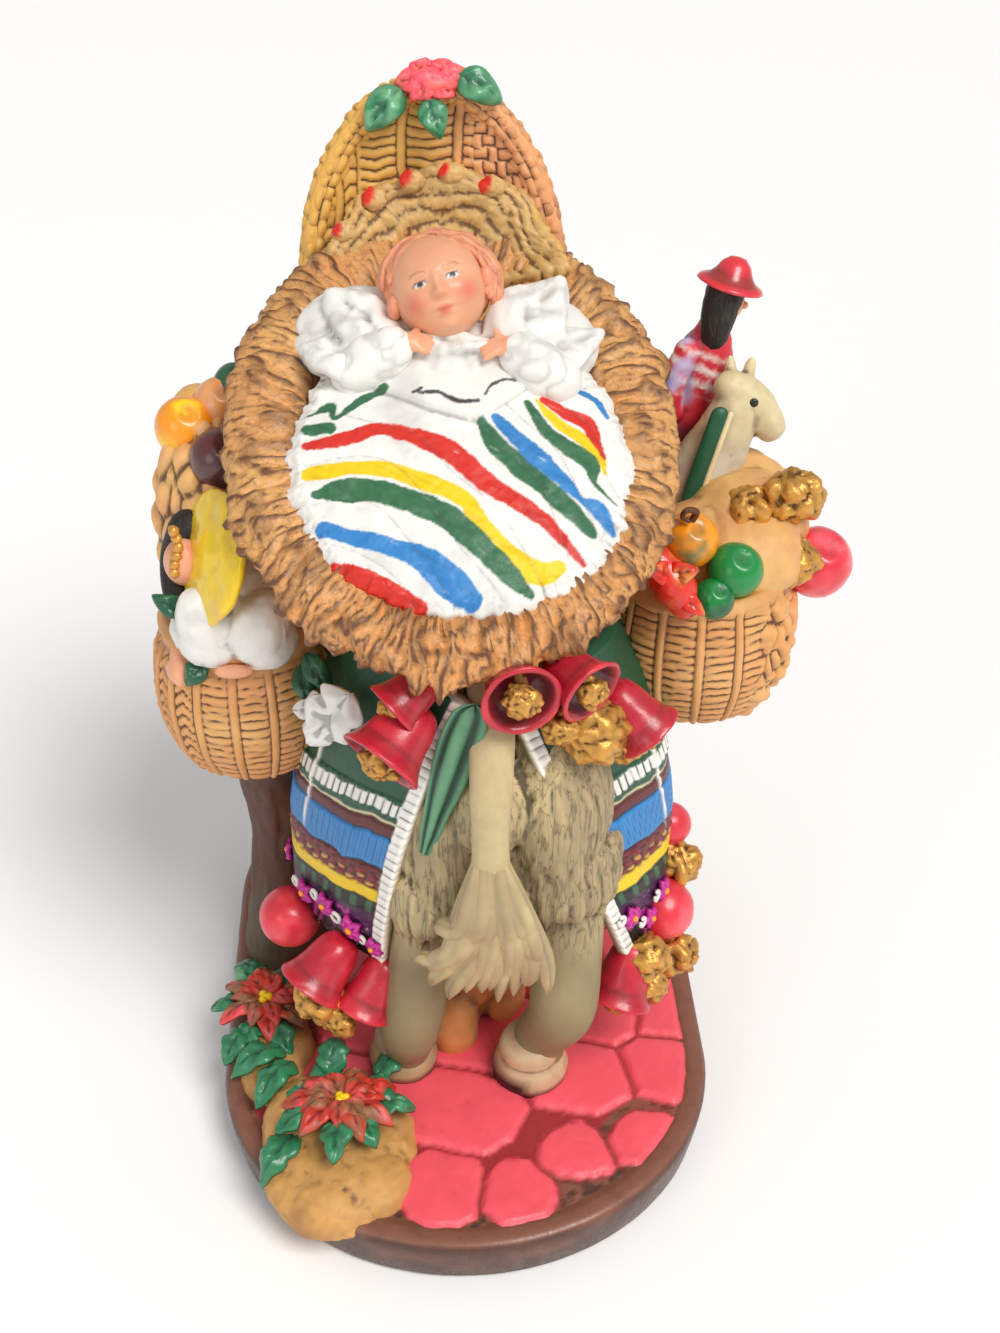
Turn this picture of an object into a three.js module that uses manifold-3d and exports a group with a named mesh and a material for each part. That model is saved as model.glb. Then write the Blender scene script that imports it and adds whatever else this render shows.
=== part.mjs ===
// A cast and painted figurine of a laden burro, as one solid.
// Millimetres, +Z up. The origin is under the middle of the base, on its flat underside.
// The burro faces +Y. The cradle on its back opens towards -Y, where a viewer stands.

import * as THREE from 'three';
import { mergeVertices } from 'three/addons/utils/BufferGeometryUtils.js';
import Module from 'manifold-3d';

const wasm = await Module();
wasm.setup();

// Driving sizes
const baseWidth = 108;
const baseStraight = 58;
const baseNearEnd = 52;
const baseFarEnd = 50;
const baseThick = 12;
const baseMiddleY = 4;
const paverRise = 0.9;
const paverGap = 1.4;

const rimTilt = 29;
const rimRoll = 4;
const rimHalfWidth = 44;
const rimHalfLength = 53;
const rimLip = 13;
const rimCentre = [0, 0, 155];

const hoodHalfWidth = 26;
const hoodHeight = 40;
const hoodDepth = 20;
const hoodHollow = 12;
const hoodWall = 4;
const hoodCentre = [-2.5, 38, 169.5];
const hoodLean = 8;

const hatRadius = 24;
const headRadius = 9.6;
const burroX = 5;
const backHeight = 120;
const bellRadius = 7;
const coneRadius = 5.5;
const faceLimit = 9600;

// Small helpers for vectors, random numbers and closed skins
const rad = THREE.MathUtils.degToRad;
const lerp = THREE.MathUtils.lerp;
const at = (p) => new THREE.Vector3(p[0], p[1], p[2]);

function wobble(seed) {
  const s = Math.sin(seed * 12.9898 + 4.1) * 43758.5453;
  return s - Math.floor(s) - 0.5;
}

function solid(geometry) {
  const bare = geometry.clone();
  bare.deleteAttribute('normal');
  bare.deleteAttribute('uv');
  const merged = mergeVertices(bare, 1e-4);
  const mesh = new wasm.Mesh({
    numProp: 3,
    vertProperties: merged.attributes.position.array,
    triVerts: Uint32Array.from(merged.index.array),
  });
  return new wasm.Manifold(mesh);
}

// A closed skin over a row of rings, each a list of the same number of points
function skin(rings) {
  const n = rings[0].length;
  const points = rings.flat();
  const faces = [];
  for (let i = 0; i < rings.length - 1; i++) {
    for (let j = 0; j < n; j++) {
      const a = i * n + j;
      const b = i * n + ((j + 1) % n);
      faces.push(a, b, b + n, a, b + n, a + n);
    }
  }
  const ends = [[0, 1], [rings.length - 1, 0]];
  for (const [ring, flip] of ends) {
    const middle = new THREE.Vector3();
    rings[ring].forEach((p) => middle.addScaledVector(p, 1 / n));
    const m = points.push(middle) - 1;
    for (let j = 0; j < n; j++) {
      const a = ring * n + j;
      const b = ring * n + ((j + 1) % n);
      faces.push(m, ...(flip ? [b, a] : [a, b]));
    }
  }
  let volume = 0;
  for (let k = 0; k < faces.length; k += 3) {
    const [a, b, c] = [points[faces[k]], points[faces[k + 1]], points[faces[k + 2]]];
    volume += a.dot(new THREE.Vector3().crossVectors(b, c)) / 6;
  }
  if (volume < 0) faces.reverse();
  const geometry = new THREE.BufferGeometry();
  geometry.setAttribute('position', new THREE.Float32BufferAttribute(points.flatMap((p) => p.toArray()), 3));
  geometry.setIndex(faces);
  return solid(geometry);
}

// A limb: oval sections along a path. A station is [x, y, z, half width, half depth].
function limb(stations, sides = 10, side = [1, 0, 0]) {
  const path = stations.map(at);
  const rings = path.map((p, i) => {
    const before = path[Math.max(i - 1, 0)];
    const after = path[Math.min(i + 1, path.length - 1)];
    const tangent = after.clone().sub(before).normalize();
    const across = at(side).addScaledVector(tangent, -at(side).dot(tangent)).normalize();
    const up = new THREE.Vector3().crossVectors(tangent, across);
    const [a, b] = [stations[i][3], stations[i][4] ?? stations[i][3]];
    return Array.from({ length: sides }, (_, j) => {
      const turn = (j / sides) * 2 * Math.PI;
      return p.clone().addScaledVector(across, a * Math.cos(turn)).addScaledVector(up, b * Math.sin(turn));
    });
  });
  return skin(rings);
}

// An egg or pebble: a sphere pulled to three radii, with an optional roughness
function egg(centre, radii, { across = 10, down = 7, turn = [0, 0, 0], rough = 0, seed = 1 } = {}) {
  const geometry = new THREE.SphereGeometry(1, across, down);
  const p = geometry.attributes.position;
  for (let i = 0; i < p.count; i++) {
    const key = Math.round(p.getX(i) * 90) + Math.round(p.getY(i) * 90) * 3 + Math.round(p.getZ(i) * 90) * 7;
    const swell = 1 + rough * wobble(key + seed);
    p.setXYZ(i, p.getX(i) * radii[0] * swell, p.getZ(i) * radii[1] * swell, -p.getY(i) * radii[2] * swell);
  }
  flipFaces(geometry);
  geometry.applyMatrix4(new THREE.Matrix4().makeRotationFromEuler(new THREE.Euler(...turn.map(rad))));
  geometry.translate(...centre);
  return solid(geometry);
}

function flipFaces(geometry) {
  const index = geometry.index.array;
  const p = geometry.attributes.position;
  const [a, b, c] = [0, 1, 2].map((k) => new THREE.Vector3().fromBufferAttribute(p, index[k]));
  if (a.dot(new THREE.Vector3().crossVectors(b, c)) < 0) index.reverse();
}

// A turned form whose axis runs from one point to another. A row is [along 0..1, radius].
function turned(from, to, rows, sides = 12) {
  const axis = at(to).sub(at(from));
  const profile = rows.map(([t, r]) => new THREE.Vector2(r, t * axis.length()));
  const geometry = new THREE.LatheGeometry(profile, sides);
  const upright = new THREE.Vector3(0, 1, 0);
  geometry.applyQuaternion(new THREE.Quaternion().setFromUnitVectors(upright, axis.normalize()));
  geometry.translate(...from);
  return solid(geometry);
}

// The base: an oval slab whose side leans in a little towards the floor
function baseOutline(inset, z, count = 44) {
  const halfWidth = baseWidth / 2 - inset;
  const near = baseMiddleY - baseStraight / 2;
  const far = baseMiddleY + baseStraight / 2;
  return Array.from({ length: count }, (_, j) => {
    const turn = ((j + 0.5) / count) * 2 * Math.PI;
    const end = Math.sin(turn) < 0 ? baseNearEnd - inset : baseFarEnd - inset;
    const middle = Math.sin(turn) < 0 ? near : far;
    return new THREE.Vector3(halfWidth * Math.cos(turn), middle + end * Math.sin(turn), z);
  });
}

function makeBase() {
  return skin([
    baseOutline(2.5, 0),
    baseOutline(1.5, 1),
    baseOutline(0, baseThick - 2),
    baseOutline(0.6, baseThick - 0.6),
    baseOutline(2, baseThick),
  ]);
}

// Pavers: each is the part of the paved ground that lies nearest to its own middle
const paverMiddles = [
  [-1, -43], [-6, -62], [9.5, -64], [22, -54], [37, -51], [27, -34], [44, -31], [33, -13], [47, -14],
  [24, 2], [42, 6], [30, 24], [46, 27], [14, 40], [30, 45], [18, 60], [-2, 64], [-14, 48], [-30, 56],
  [2, 18], [6, -18], [-22, 30],
];

function clipCell(cell, point, normal) {
  const out = [];
  cell.forEach((a, i) => {
    const b = cell[(i + 1) % cell.length];
    const da = a.clone().sub(point).dot(normal);
    const db = b.clone().sub(point).dot(normal);
    if (da <= 0) out.push(a);
    if ((da < 0 && db > 0) || (da > 0 && db < 0)) out.push(a.clone().lerp(b, da / (da - db)));
  });
  return out;
}

function makePaver(middle) {
  let cell = baseOutline(5, 0, 24).map((p) => new THREE.Vector2(p.x, p.y));
  for (const other of paverMiddles) {
    if (other === middle) continue;
    const away = new THREE.Vector2(other[0] - middle[0], other[1] - middle[1]);
    const reach = away.length() / 2 - paverGap / 2;
    away.normalize();
    cell = clipCell(cell, new THREE.Vector2(...middle).addScaledVector(away, reach), away);
  }
  const foot = cell.map((p) => new THREE.Vector3(p.x, p.y, baseThick - 1));
  const top = cell.map((p) => {
    const inward = new THREE.Vector2(...middle).sub(p).setLength(0.8);
    return new THREE.Vector3(p.x + inward.x, p.y + inward.y, baseThick + paverRise);
  });
  return skin([foot, top]);
}

// Ground and rocks around the hooves
function makeGround() {
  return [
    egg([-28, -50, 10], [17, 22, 8.5], { across: 12, rough: 0.12, seed: 3 }),
    egg([-43, -22, 10], [9, 16, 8], { rough: 0.12, seed: 5 }),
    egg([1, -6, 29], [12, 14, 24], { across: 12, rough: 0.1, seed: 7 }),
    egg([-3, -19, 16], [7, 7, 9], { rough: 0.1, seed: 9 }),
    limb([[-40, 14, 6, 13], [-40, 13, 26, 10], [-39, 12, 50, 8.5], [-40, 10, 72, 9.5], [-42, 8, 92, 12]], 9),
    egg([-42, 36, 12], [9, 13, 9], { rough: 0.15, seed: 11 }),
  ];
}

// A leaf or petal: a thin kite with a raised midrib
function leaf(root, tip, width, up = [0, 0, 1], thick = 1.6) {
  const along = at(tip).sub(at(root));
  const lift = at(up).normalize();
  const across = new THREE.Vector3().crossVectors(along, lift).setLength(width / 2);
  const wide = at(root).addScaledVector(along, 0.5);
  const under = lift.clone().multiplyScalar(-thick);
  const ring = (p, half, rise) => [
    p.clone().add(across.clone().multiplyScalar(half)),
    p.clone().addScaledVector(lift, rise),
    p.clone().sub(across.clone().multiplyScalar(half)),
    p.clone().add(under),
  ];
  return skin([ring(at(root), 0.35, 0.3), ring(wide, 1, 0.9), ring(at(tip), 0.1, 0.1)]);
}

function makePoinsettia(centre, radius, petals, lean) {
  const parts = [egg(centre, [2.4, 2.4, 2.2], { across: 8, down: 5 })];
  for (let i = 0; i < petals; i++) {
    const turn = (i / petals) * 2 * Math.PI;
    const outer = turn + Math.PI / petals;
    const spot = (r, a, z) => [
      centre[0] + r * Math.cos(a),
      centre[1] + r * Math.sin(a),
      centre[2] + z + r * Math.sin(a) * lean,
    ];
    parts.push(leaf(centre, spot(radius * 0.72, turn, 0), radius * 0.42));
    parts.push(leaf(spot(radius * 0.15, outer, -1.5), spot(radius, outer, -2.5), radius * 0.5));
  }
  return parts;
}

// The burro: barrel, haunches, legs, neck, head, ears and tail
function makeBurro() {
  const x = burroX;
  const z = backHeight;
  const barrel = limb([
    [x, -38, z - 24, 12, 14],
    [x, -34, z - 26, 20, 23],
    [x, -25, z - 29, 24, 29],
    [x - 1, -8, z - 30, 25, 29],
    [x - 2, 10, z - 30, 25, 28],
    [x - 3, 27, z - 28, 23, 27],
    [x - 3, 38, z - 25, 18, 22],
    [x - 3, 45, z - 22, 9, 12],
  ], 16);
  const parts = [barrel];
  parts.push(egg([x - 8.5, -27, 79], [11.5, 13.5, 22], { across: 12, down: 9 }));
  parts.push(egg([x + 13, -27, 85], [13, 14.5, 20], { across: 12, down: 9 }));
  const legs = [
    [
      [-6, -26, 70, 9, 11], [-9, -30, 48, 7, 8], [-12, -33, 31, 6.6, 6.4],
      [-13, -29, 21, 5.4, 5.6], [-14, -26, 10, 7.6],
    ],
    [
      [20, -27, 70, 10, 11], [21, -32, 52, 8, 8.5], [20.5, -35, 36, 7.2, 7],
      [17, -31, 25, 6], [14, -30, 10, 8.4, 8.8],
    ],
    [[-9, 30, 78, 8, 9], [-10, 31, 50, 6], [-10, 31, 36, 6.2], [-10, 31, 22, 4.9], [-10, 34, 10, 7, 7.5]],
    [[13, 30, 78, 8, 9], [13, 29, 50, 6], [13, 28, 36, 6.2], [13, 29, 22, 4.9], [13, 32, 10, 7, 7.5]],
  ];
  legs.forEach((stations) => parts.push(limb(stations, 9)));
  parts.push(limb([
    [1, 28, 92, 16, 20], [1, 40, 106, 13, 17], [1, 50, 120, 9.5, 13], [1, 57, 134, 8, 10], [1, 60, 143, 7, 8],
  ], 12));
  parts.push(limb([
    [1, 53, 147, 6, 6], [1, 58, 144, 8.6, 8.8], [1, 66, 136, 7.8, 8.4], [1, 74, 125, 5.8, 6.4],
    [1, 79, 117, 6, 6.2], [1, 81.5, 113, 4, 4],
  ], 12));
  for (const s of [-1, 1]) {
    parts.push(limb([
      [1 + 4 * s, 57, 148, 3, 2.4], [1 + 7 * s, 56, 158, 4.2, 2.4], [1 + 10 * s, 54, 168, 3, 1.8],
      [1 + 11.5 * s, 53, 174, 0.8, 0.8],
    ], 7));
  }
  parts.push(limb([[1, 34, 124, 2, 5], [1, 46, 138, 2.4, 5], [1, 54, 150, 2.6, 5], [1, 60, 152, 2, 4]], 6));
  return parts;
}

function makeTail() {
  const x = burroX - 1.5;
  const parts = [limb([
    [x, -31, 122, 5.5, 4], [x, -38, 114, 5.2, 4], [x, -43, 102, 4.4, 4], [x, -46, 90, 3.2, 3.4],
    [x + 0.5, -46, 78, 6, 5], [x + 1, -44, 66, 8.5, 5], [x + 1, -41, 57, 8, 4],
  ], 8)];
  const locks = [
    [-9, -39, 55, 3.4], [-6, -40, 45, 3.6], [0, -41, 43, 4], [6, -41, 47, 4], [12, -40, 55, 3.6],
  ];
  locks.forEach(([dx, y, z, r]) => parts.push(limb([
    [x + 0.5 + dx * 0.15, -45, 80, r * 0.8],
    [x + 1 + dx * 0.7, -44, 66, r],
    [x + 1 + dx, y, z, 0.8],
  ], 6)));
  return parts;
}

// The serape: one panel down each flank, from the rear corner round to the front
function bend(from, through, to) {
  return new THREE.QuadraticBezierCurve3(at(from), at(through), at(to));
}

function makeDrape(rear, side, front, rows = 8) {
  const rings = Array.from({ length: rows }, (_, i) => {
    const t = i / (rows - 1);
    const [r, s, f] = [rear, side, front].map((curve) => curve.getPoint(t));
    const belly = r.clone().lerp(s, 0.5);
    belly.add(belly.clone().sub(new THREE.Vector3(burroX, 0, belly.z)).setLength(2.2));
    const outer = [r, belly, s, s.clone().lerp(f, 0.5), f];
    const depth = lerp(14, 6, Math.min(1, t * 1.6));
    const inner = outer.map((p) => {
      const heart = new THREE.Vector3(burroX, THREE.MathUtils.clamp(p.y, -14, 20), p.z);
      return p.clone().add(heart.sub(p).setLength(depth));
    });
    return [...outer, ...inner.reverse()];
  });
  return skin(rings);
}

function makeSerape() {
  return [
    makeDrape(
      bend([1, -41, 121], [-10, -40, 84], [-17, -30, 46]),
      bend([-20, -15, 120], [-38, -8, 86], [-36, -4, 44]),
      bend([-20, 28, 120], [-34, 30, 86], [-33, 30, 46]),
    ),
    makeDrape(
      bend([8, -40, 121], [22, -38, 82], [34, -29, 45]),
      bend([30, -16, 120], [50, -8, 84], [44, -7, 42]),
      bend([30, 28, 120], [42, 30, 86], [41, 30, 44]),
    ),
  ];
}

// The cradle: a bowl and a shaggy lip, in a plane that tilts up towards the hood
function cradlePoint(u, v, w) {
  const roll = new THREE.Euler(rad(rimTilt), rad(rimRoll), 0, 'YXZ');
  return new THREE.Vector3(u, v, w).applyEuler(roll).add(at(rimCentre));
}

function cradleRing(grow, w, count, shag = 0) {
  return Array.from({ length: count }, (_, j) => {
    const turn = (j / count) * 2 * Math.PI;
    const swell = grow + shag * wobble(j + 1);
    return cradlePoint(
      (rimHalfWidth + swell) * Math.cos(turn),
      (rimHalfLength + swell) * Math.sin(turn),
      w + shag * 0.5 * wobble(j + 40),
    );
  });
}

function makeCradle() {
  const count = 44;
  const lip = skin([
    cradleRing(-rimLip - 6, -3, count),
    cradleRing(-rimLip, 3.2, count, 0.8),
    cradleRing(-rimLip * 0.45, 3.6, count, 1.6),
    cradleRing(-0.5, 0.2, count, 3.6),
    cradleRing(-1.5, -2.6, count, 2.4),
    cradleRing(-6.5, -4.2, count),
  ]);
  const bowl = skin([
    cradleRing(-8, -1, 28),
    cradleRing(-9, -10, 28),
    cradleRing(-12, -22, 28),
    cradleRing(-18, -34, 28),
    cradleRing(-27, -44, 28),
  ]);
  return [lip, bowl];
}

// The hood: half of a thin dome that stands at the head end, with a braided edge
function makeHood() {
  const dome = (inset, depth) => {
    const radii = [hoodHalfWidth - inset, depth, hoodHeight - inset];
    return egg(hoodCentre, radii, { across: 24, down: 18, turn: [-hoodLean, 0, 0] });
  };
  const reach = 90;
  const cutter = new THREE.BoxGeometry(reach, reach, 2 * reach);
  cutter.translate(0, -reach / 2, 0);
  cutter.applyMatrix4(new THREE.Matrix4().makeRotationX(-rad(hoodLean)));
  cutter.translate(...hoodCentre);
  const floorCut = new THREE.BoxGeometry(reach, reach, reach);
  floorCut.translate(hoodCentre[0], hoodCentre[1], hoodCentre[2] - reach / 2 - 16);
  const hollow = dome(0, hoodDepth).subtract(dome(hoodWall, hoodHollow));
  const shell = hollow.subtract(solid(cutter)).subtract(solid(floorCut));
  const lean = rad(hoodLean);
  const edge = Array.from({ length: 17 }, (_, i) => {
    const turn = (i / 16) * Math.PI * 1.1 - Math.PI * 0.05;
    const up = (hoodHeight - 1.6) * Math.sin(turn);
    return [
      hoodCentre[0] - (hoodHalfWidth - 1.6) * Math.cos(turn),
      hoodCentre[1] + up * Math.sin(lean),
      hoodCentre[2] + up * Math.cos(lean),
      2.6 + 0.5 * (i % 2),
    ];
  });
  return [shell, limb(edge, 7, [0, 1, 0])];
}

function makeHoodFlower() {
  const top = [hoodCentre[0] + 0.5, hoodCentre[1] + 5, hoodCentre[2] + hoodHeight + 0.5];
  const facing = [0, -0.8, 0.6];
  const parts = [egg(top, [3.4, 2.6, 2.4], { across: 8, down: 5 })];
  const tips = [[-7, 0, -1], [-4, 1, 2], [3, 1, 2.4], [8, 0, 0], [3, -3, -2.5], [-3, -3, -3]];
  tips.forEach(([x, y, z]) => parts.push(leaf(top, [top[0] + x, top[1] + y, top[2] + z], 4.5, facing)));
  const leaves = [[-12, -1, -6], [4, -2, -9], [11, 0, -4]];
  leaves.forEach(([x, y, z]) => parts.push(leaf(top, [top[0] + x, top[1] + y, top[2] + z], 6, facing)));
  return parts;
}

// The straw hat that the head lies in, with a row of pompoms
const hatMiddle = [-0.5, 30, 171.5];
const hatFace = [0, -0.84, 0.54];

function hatPoint(turn, radius, rise) {
  const face = at(hatFace).normalize();
  const across = new THREE.Vector3(1, 0, 0);
  const up = new THREE.Vector3().crossVectors(face, across).negate();
  return at(hatMiddle)
    .addScaledVector(across, radius * Math.cos(turn))
    .addScaledVector(up, radius * Math.sin(turn))
    .addScaledVector(face, rise);
}

function makeHat() {
  const count = 26;
  const ring = (radius, rise) => Array.from({ length: count }, (_, j) => (
    hatPoint((j / count) * 2 * Math.PI, radius, rise + 0.5 * wobble(j + radius))
  ));
  const crown = [ring(8, -9), ring(13, -3.2)];
  const brim = [ring(hatRadius, -1.4), ring(hatRadius, 1.2), ring(hatRadius - 4, 0.6), ring(12, -1)];
  const parts = [skin([...crown, ...brim])];
  for (let i = 0; i < 9; i++) {
    const spot = hatPoint(rad(14 + i * 19), hatRadius - 2.4, 2).toArray();
    parts.push(egg(spot, [2, 2, 2], { across: 6, down: 4 }));
  }
  return parts;
}

// The baby: a head on a frilled pillow, sleeves with hands, and a domed blanket
function makeBaby() {
  const head = cradlePoint(-3.6, 24, 14).toArray();
  const skull = [headRadius * 0.92, headRadius * 0.95, headRadius * 1.05];
  const parts = [
    egg(head, skull, { across: 14, down: 10, turn: [20, 0, 0] }),
    egg([head[0], head[1] + 2, head[2] + 2.4], [headRadius + 0.6, 7.4, headRadius], { across: 12, down: 8 }),
    egg([head[0], head[1] - headRadius * 0.9, head[2] - 0.6], [1.5, 1.6, 1.4], { across: 6, down: 4 }),
  ];
  for (const s of [-1, 1]) {
    const pillow = cradlePoint(18 * s - 1.5, 20, 7).toArray();
    parts.push(egg(pillow, [12, 11, 5], { turn: [rimTilt, 12 * s, 0], rough: 0.2, seed: 20 + s }));
    const sleeve = cradlePoint(13 * s, 10, 8.5).toArray();
    parts.push(egg(sleeve, [8, 6, 4], { turn: [rimTilt, 0, 0] }));
    const hand = cradlePoint(9.5 * s, 8.5, 11.4).toArray();
    parts.push(egg(hand, [4.6, 2.6, 1.8], { across: 8, down: 5, turn: [rimTilt, 0, 0] }));
  }
  const fold = cradlePoint(2, 2.5, 9).toArray();
  parts.push(egg(fold, [13, 5.5, 2.6], { turn: [rimTilt, 0, 0] }));
  return parts;
}

function makeBlanket() {
  const count = 32;
  const ring = (grow, w, shag = 0) => Array.from({ length: count }, (_, j) => {
    const turn = (j / count) * 2 * Math.PI;
    const reach = grow * (1 + shag * wobble(j + 60));
    return cradlePoint(1.5 + 32.5 * reach * Math.cos(turn), -9 + 32.5 * reach * Math.sin(turn), w);
  });
  const hem = [ring(0.8, -4), ring(1, 2.8), ring(0.99, 4.6, 0.04)];
  return skin([...hem, ring(0.8, 7), ring(0.5, 8.6), ring(0.2, 9.2)]);
}

// Panniers: round wicker baskets with stakes, a knobbly rope side and a heap of goods
const leftPannier = { centre: [-43, 2], radius: 18.5, bottom: 81, top: 117, ropeSide: -1 };
const rightPannier = { centre: [50, 4], radius: 19.5, bottom: 91, top: 124, ropeSide: 1 };

function makePannier({ centre, radius, bottom, top, ropeSide }) {
  const stakes = 30;
  const rows = [[0, 0.62], [0.12, 0.82], [0.35, 0.98], [0.62, 1], [0.86, 0.94], [0.94, 0.98], [1, 0.9]];
  const rings = rows.map(([t, grow], k) => Array.from({ length: stakes }, (_, j) => {
    const turn = (j / stakes) * 2 * Math.PI;
    const outward = Math.max(0, ropeSide * Math.cos(turn) - 0.35);
    const knob = outward * 2.2 * (1 + Math.sin(k * 2.4 + j * 2.1));
    const r = radius * grow + (j % 2 ? 0.45 : -0.45) + knob;
    const [x, y] = [centre[0] + r * Math.cos(turn), centre[1] + r * Math.sin(turn)];
    return new THREE.Vector3(x, y, lerp(bottom, top, t));
  }));
  return skin(rings);
}

function makeLeftGoods() {
  const sack = egg([-48, 15, 128], [13, 15, 24], { across: 12, down: 9, rough: 0.1, seed: 31 });
  const fruit = [
    [[-53, 18, 149], 6.2],
    [[-46, 22, 152], 5.6],
    [[-43, 24, 155], 4.6],
    [[-45.5, 8, 147], 6.2],
    [[-51, 26, 148], 6],
  ];
  const doll = [
    egg([-48, -5, 133], [6, 6, 6], { across: 8, down: 6 }),
    egg([-48.5, -11, 121], [6.5, 6, 8], { across: 8, down: 6, turn: [0, -18, 0] }),
    egg([-39, -13, 121], [6, 6, 7.5], { across: 8, down: 6, turn: [0, 22, 0] }),
    egg([-44, -6, 124], [9, 7, 8], { across: 8, down: 6 }),
    egg([-55, -8, 110], [3.6, 3.4, 3], { across: 6, down: 5 }),
  ];
  const parts = [sack, ...doll];
  parts.push(limb([[-46.6, -9.6, 126, 6], [-46.6, -8.4, 132, 9], [-46, -6, 139, 9.6], [-45, -4, 146, 5]], 8));
  fruit.forEach(([p, r]) => parts.push(egg(p, [r, r, r * 0.94], { across: 8, down: 6 })));
  return parts;
}

function makeRightGoods() {
  const parts = [
    egg([60, 22, 124], [14, 13, 17], { across: 12, down: 8, rough: 0.06, seed: 41 }),
    egg([46, -6, 134], [5.6, 5.4, 5.2], { across: 8, down: 6 }),
    egg([55, -8, 128], [5.6, 5, 5.2], { across: 8, down: 6 }),
    egg([50.5, -12, 124], [4, 3.6, 4], { across: 7, down: 5 }),
    limb([[39, -12, 133, 3.2], [42, -14, 129, 4.2], [44, -15, 125, 3]], 7),
    egg([75, 7, 120], [7.2, 6.6, 7.6], { across: 10, down: 7 }),
    egg([58, 2, 126], [13, 12, 9], { across: 10, down: 6 }),
  ];
  const cones = [[68, 5, 137], [68, 0, 125], [60, 4, 134]];
  cones.forEach((p, i) => parts.push(makeCone(p, i + 50)));
  return parts;
}

// The small toy burro on the right pannier, and the rider doll on it
function makeToyRider() {
  const hatRows = [[0, 0], [0, 6], [0.2, 7], [0.4, 3.8], [0.9, 2.6], [1, 0]];
  return [
    limb([
      [50, 22, 124, 9], [51, 24, 134, 7, 8], [56, 24, 141, 5, 6], [59, 24, 149, 4, 5], [59, 25, 153, 3],
    ], 8),
    limb([[57, 25, 152, 3.6, 3.6], [61, 24, 148, 4, 4.4], [65, 23, 143, 3.2, 3.6]], 8, [0, 1, 0]),
    limb([[46, 30, 136, 7, 6], [50, 31, 146, 6, 5], [53, 32, 155, 6.4, 5], [54.5, 32, 161, 3.6, 3.4]], 8),
    limb([[54, 32, 158, 2.6], [54.4, 32, 163, 3.2], [56.5, 32, 168, 3.6], [57.5, 32, 172, 3.2]], 8),
    turned([57, 31.6, 170.4], [58.6, 32.2, 176.4], hatRows, 12),
    egg([46.5, 32, 151], [5, 3.6, 3.4], { across: 7, down: 5 }),
  ];
}

// Bells with clappers, and gilt cones
function makeBell(crown, mouth, scale = 1) {
  const r = bellRadius * scale;
  const rows = [[0, 0], [0, r * 0.46], [0.2, r * 0.68], [0.7, r * 0.84], [1, r], [0.97, r * 0.78], [0.8, 0]];
  const clapper = at(crown).lerp(at(mouth), 0.95).toArray();
  const ball = [r * 0.46, r * 0.46, r * 0.46];
  return [turned(crown, mouth, rows, 10), egg(clapper, ball, { across: 6, down: 5 })];
}

function makeCone(centre, seed, scale = 1) {
  const r = coneRadius * scale;
  return egg(centre, [r, r * 0.9, r], { across: 8, down: 6, rough: 0.26, seed });
}

function makeBells() {
  const pairs = [
    [[-3, -36, 125], [-15, -41, 124], 0.85],
    [[-6, -40, 122], [-17, -43, 109], 1],
    [[6, -35, 132], [12, -46, 121], 1.05],
    [[16, -34, 131], [25, -42, 124], 1],
    [[26, -30, 118], [36, -33, 103], 1.05],
    [[-25, -26, 52], [-33, -30, 41], 1.05],
    [[-14, -28, 45], [-24, -31, 33], 0.95],
    [[38, -24, 48], [32, -29, 31], 1.05],
  ];
  const parts = pairs.flatMap(([crown, mouth, scale]) => makeBell(crown, mouth, scale));
  const balls = [[[-38, -11, 43], 6.8], [[44, -15, 45], 7], [[46, -4, 60], 5]];
  balls.forEach(([p, r]) => parts.push(egg(p, [r, r, r], { across: 9, down: 7 })));
  const cones = [[25, -37, 111], [39, -27, 42], [47, -18, 34], [48, -8, 52], [18, -42, 116], [-31, -31, 38]];
  cones.forEach((p, i) => parts.push(makeCone(p, i + 70, i === 0 ? 1.25 : 0.95)));
  return parts;
}

// Everything is cast as one body, and pockets that no one can see are filled with resin
function castTogether(parts) {
  let body = parts[0];
  parts.slice(1).forEach((part) => { body = body.add(part); });
  const shells = body.simplify(0.02).decompose();
  return shells.reduce((most, shell) => (shell.volume() > most.volume() ? shell : most));
}

// The squared distance of a point from the planes of the faces around two corners
function planeOf(a, b, c) {
  const plane = new THREE.Plane().setFromCoplanarPoints(a, b, c);
  const area = new THREE.Triangle(a, b, c).getArea();
  const k = [plane.normal.x, plane.normal.y, plane.normal.z, plane.constant];
  const form = [];
  for (let i = 0; i < 4; i++) for (let j = i; j < 4; j++) form.push(k[i] * k[j] * area);
  return form;
}

function strayOf(f, g, p) {
  const v = [p.x, p.y, p.z, 1];
  let sum = 0;
  let n = 0;
  for (let i = 0; i < 4; i++) {
    for (let j = i; j < 4; j++) {
      sum += (f[n] + g[n]) * v[i] * v[j] * (i === j ? 1 : 2);
      n += 1;
    }
  }
  return Math.max(sum, 0);
}

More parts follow.
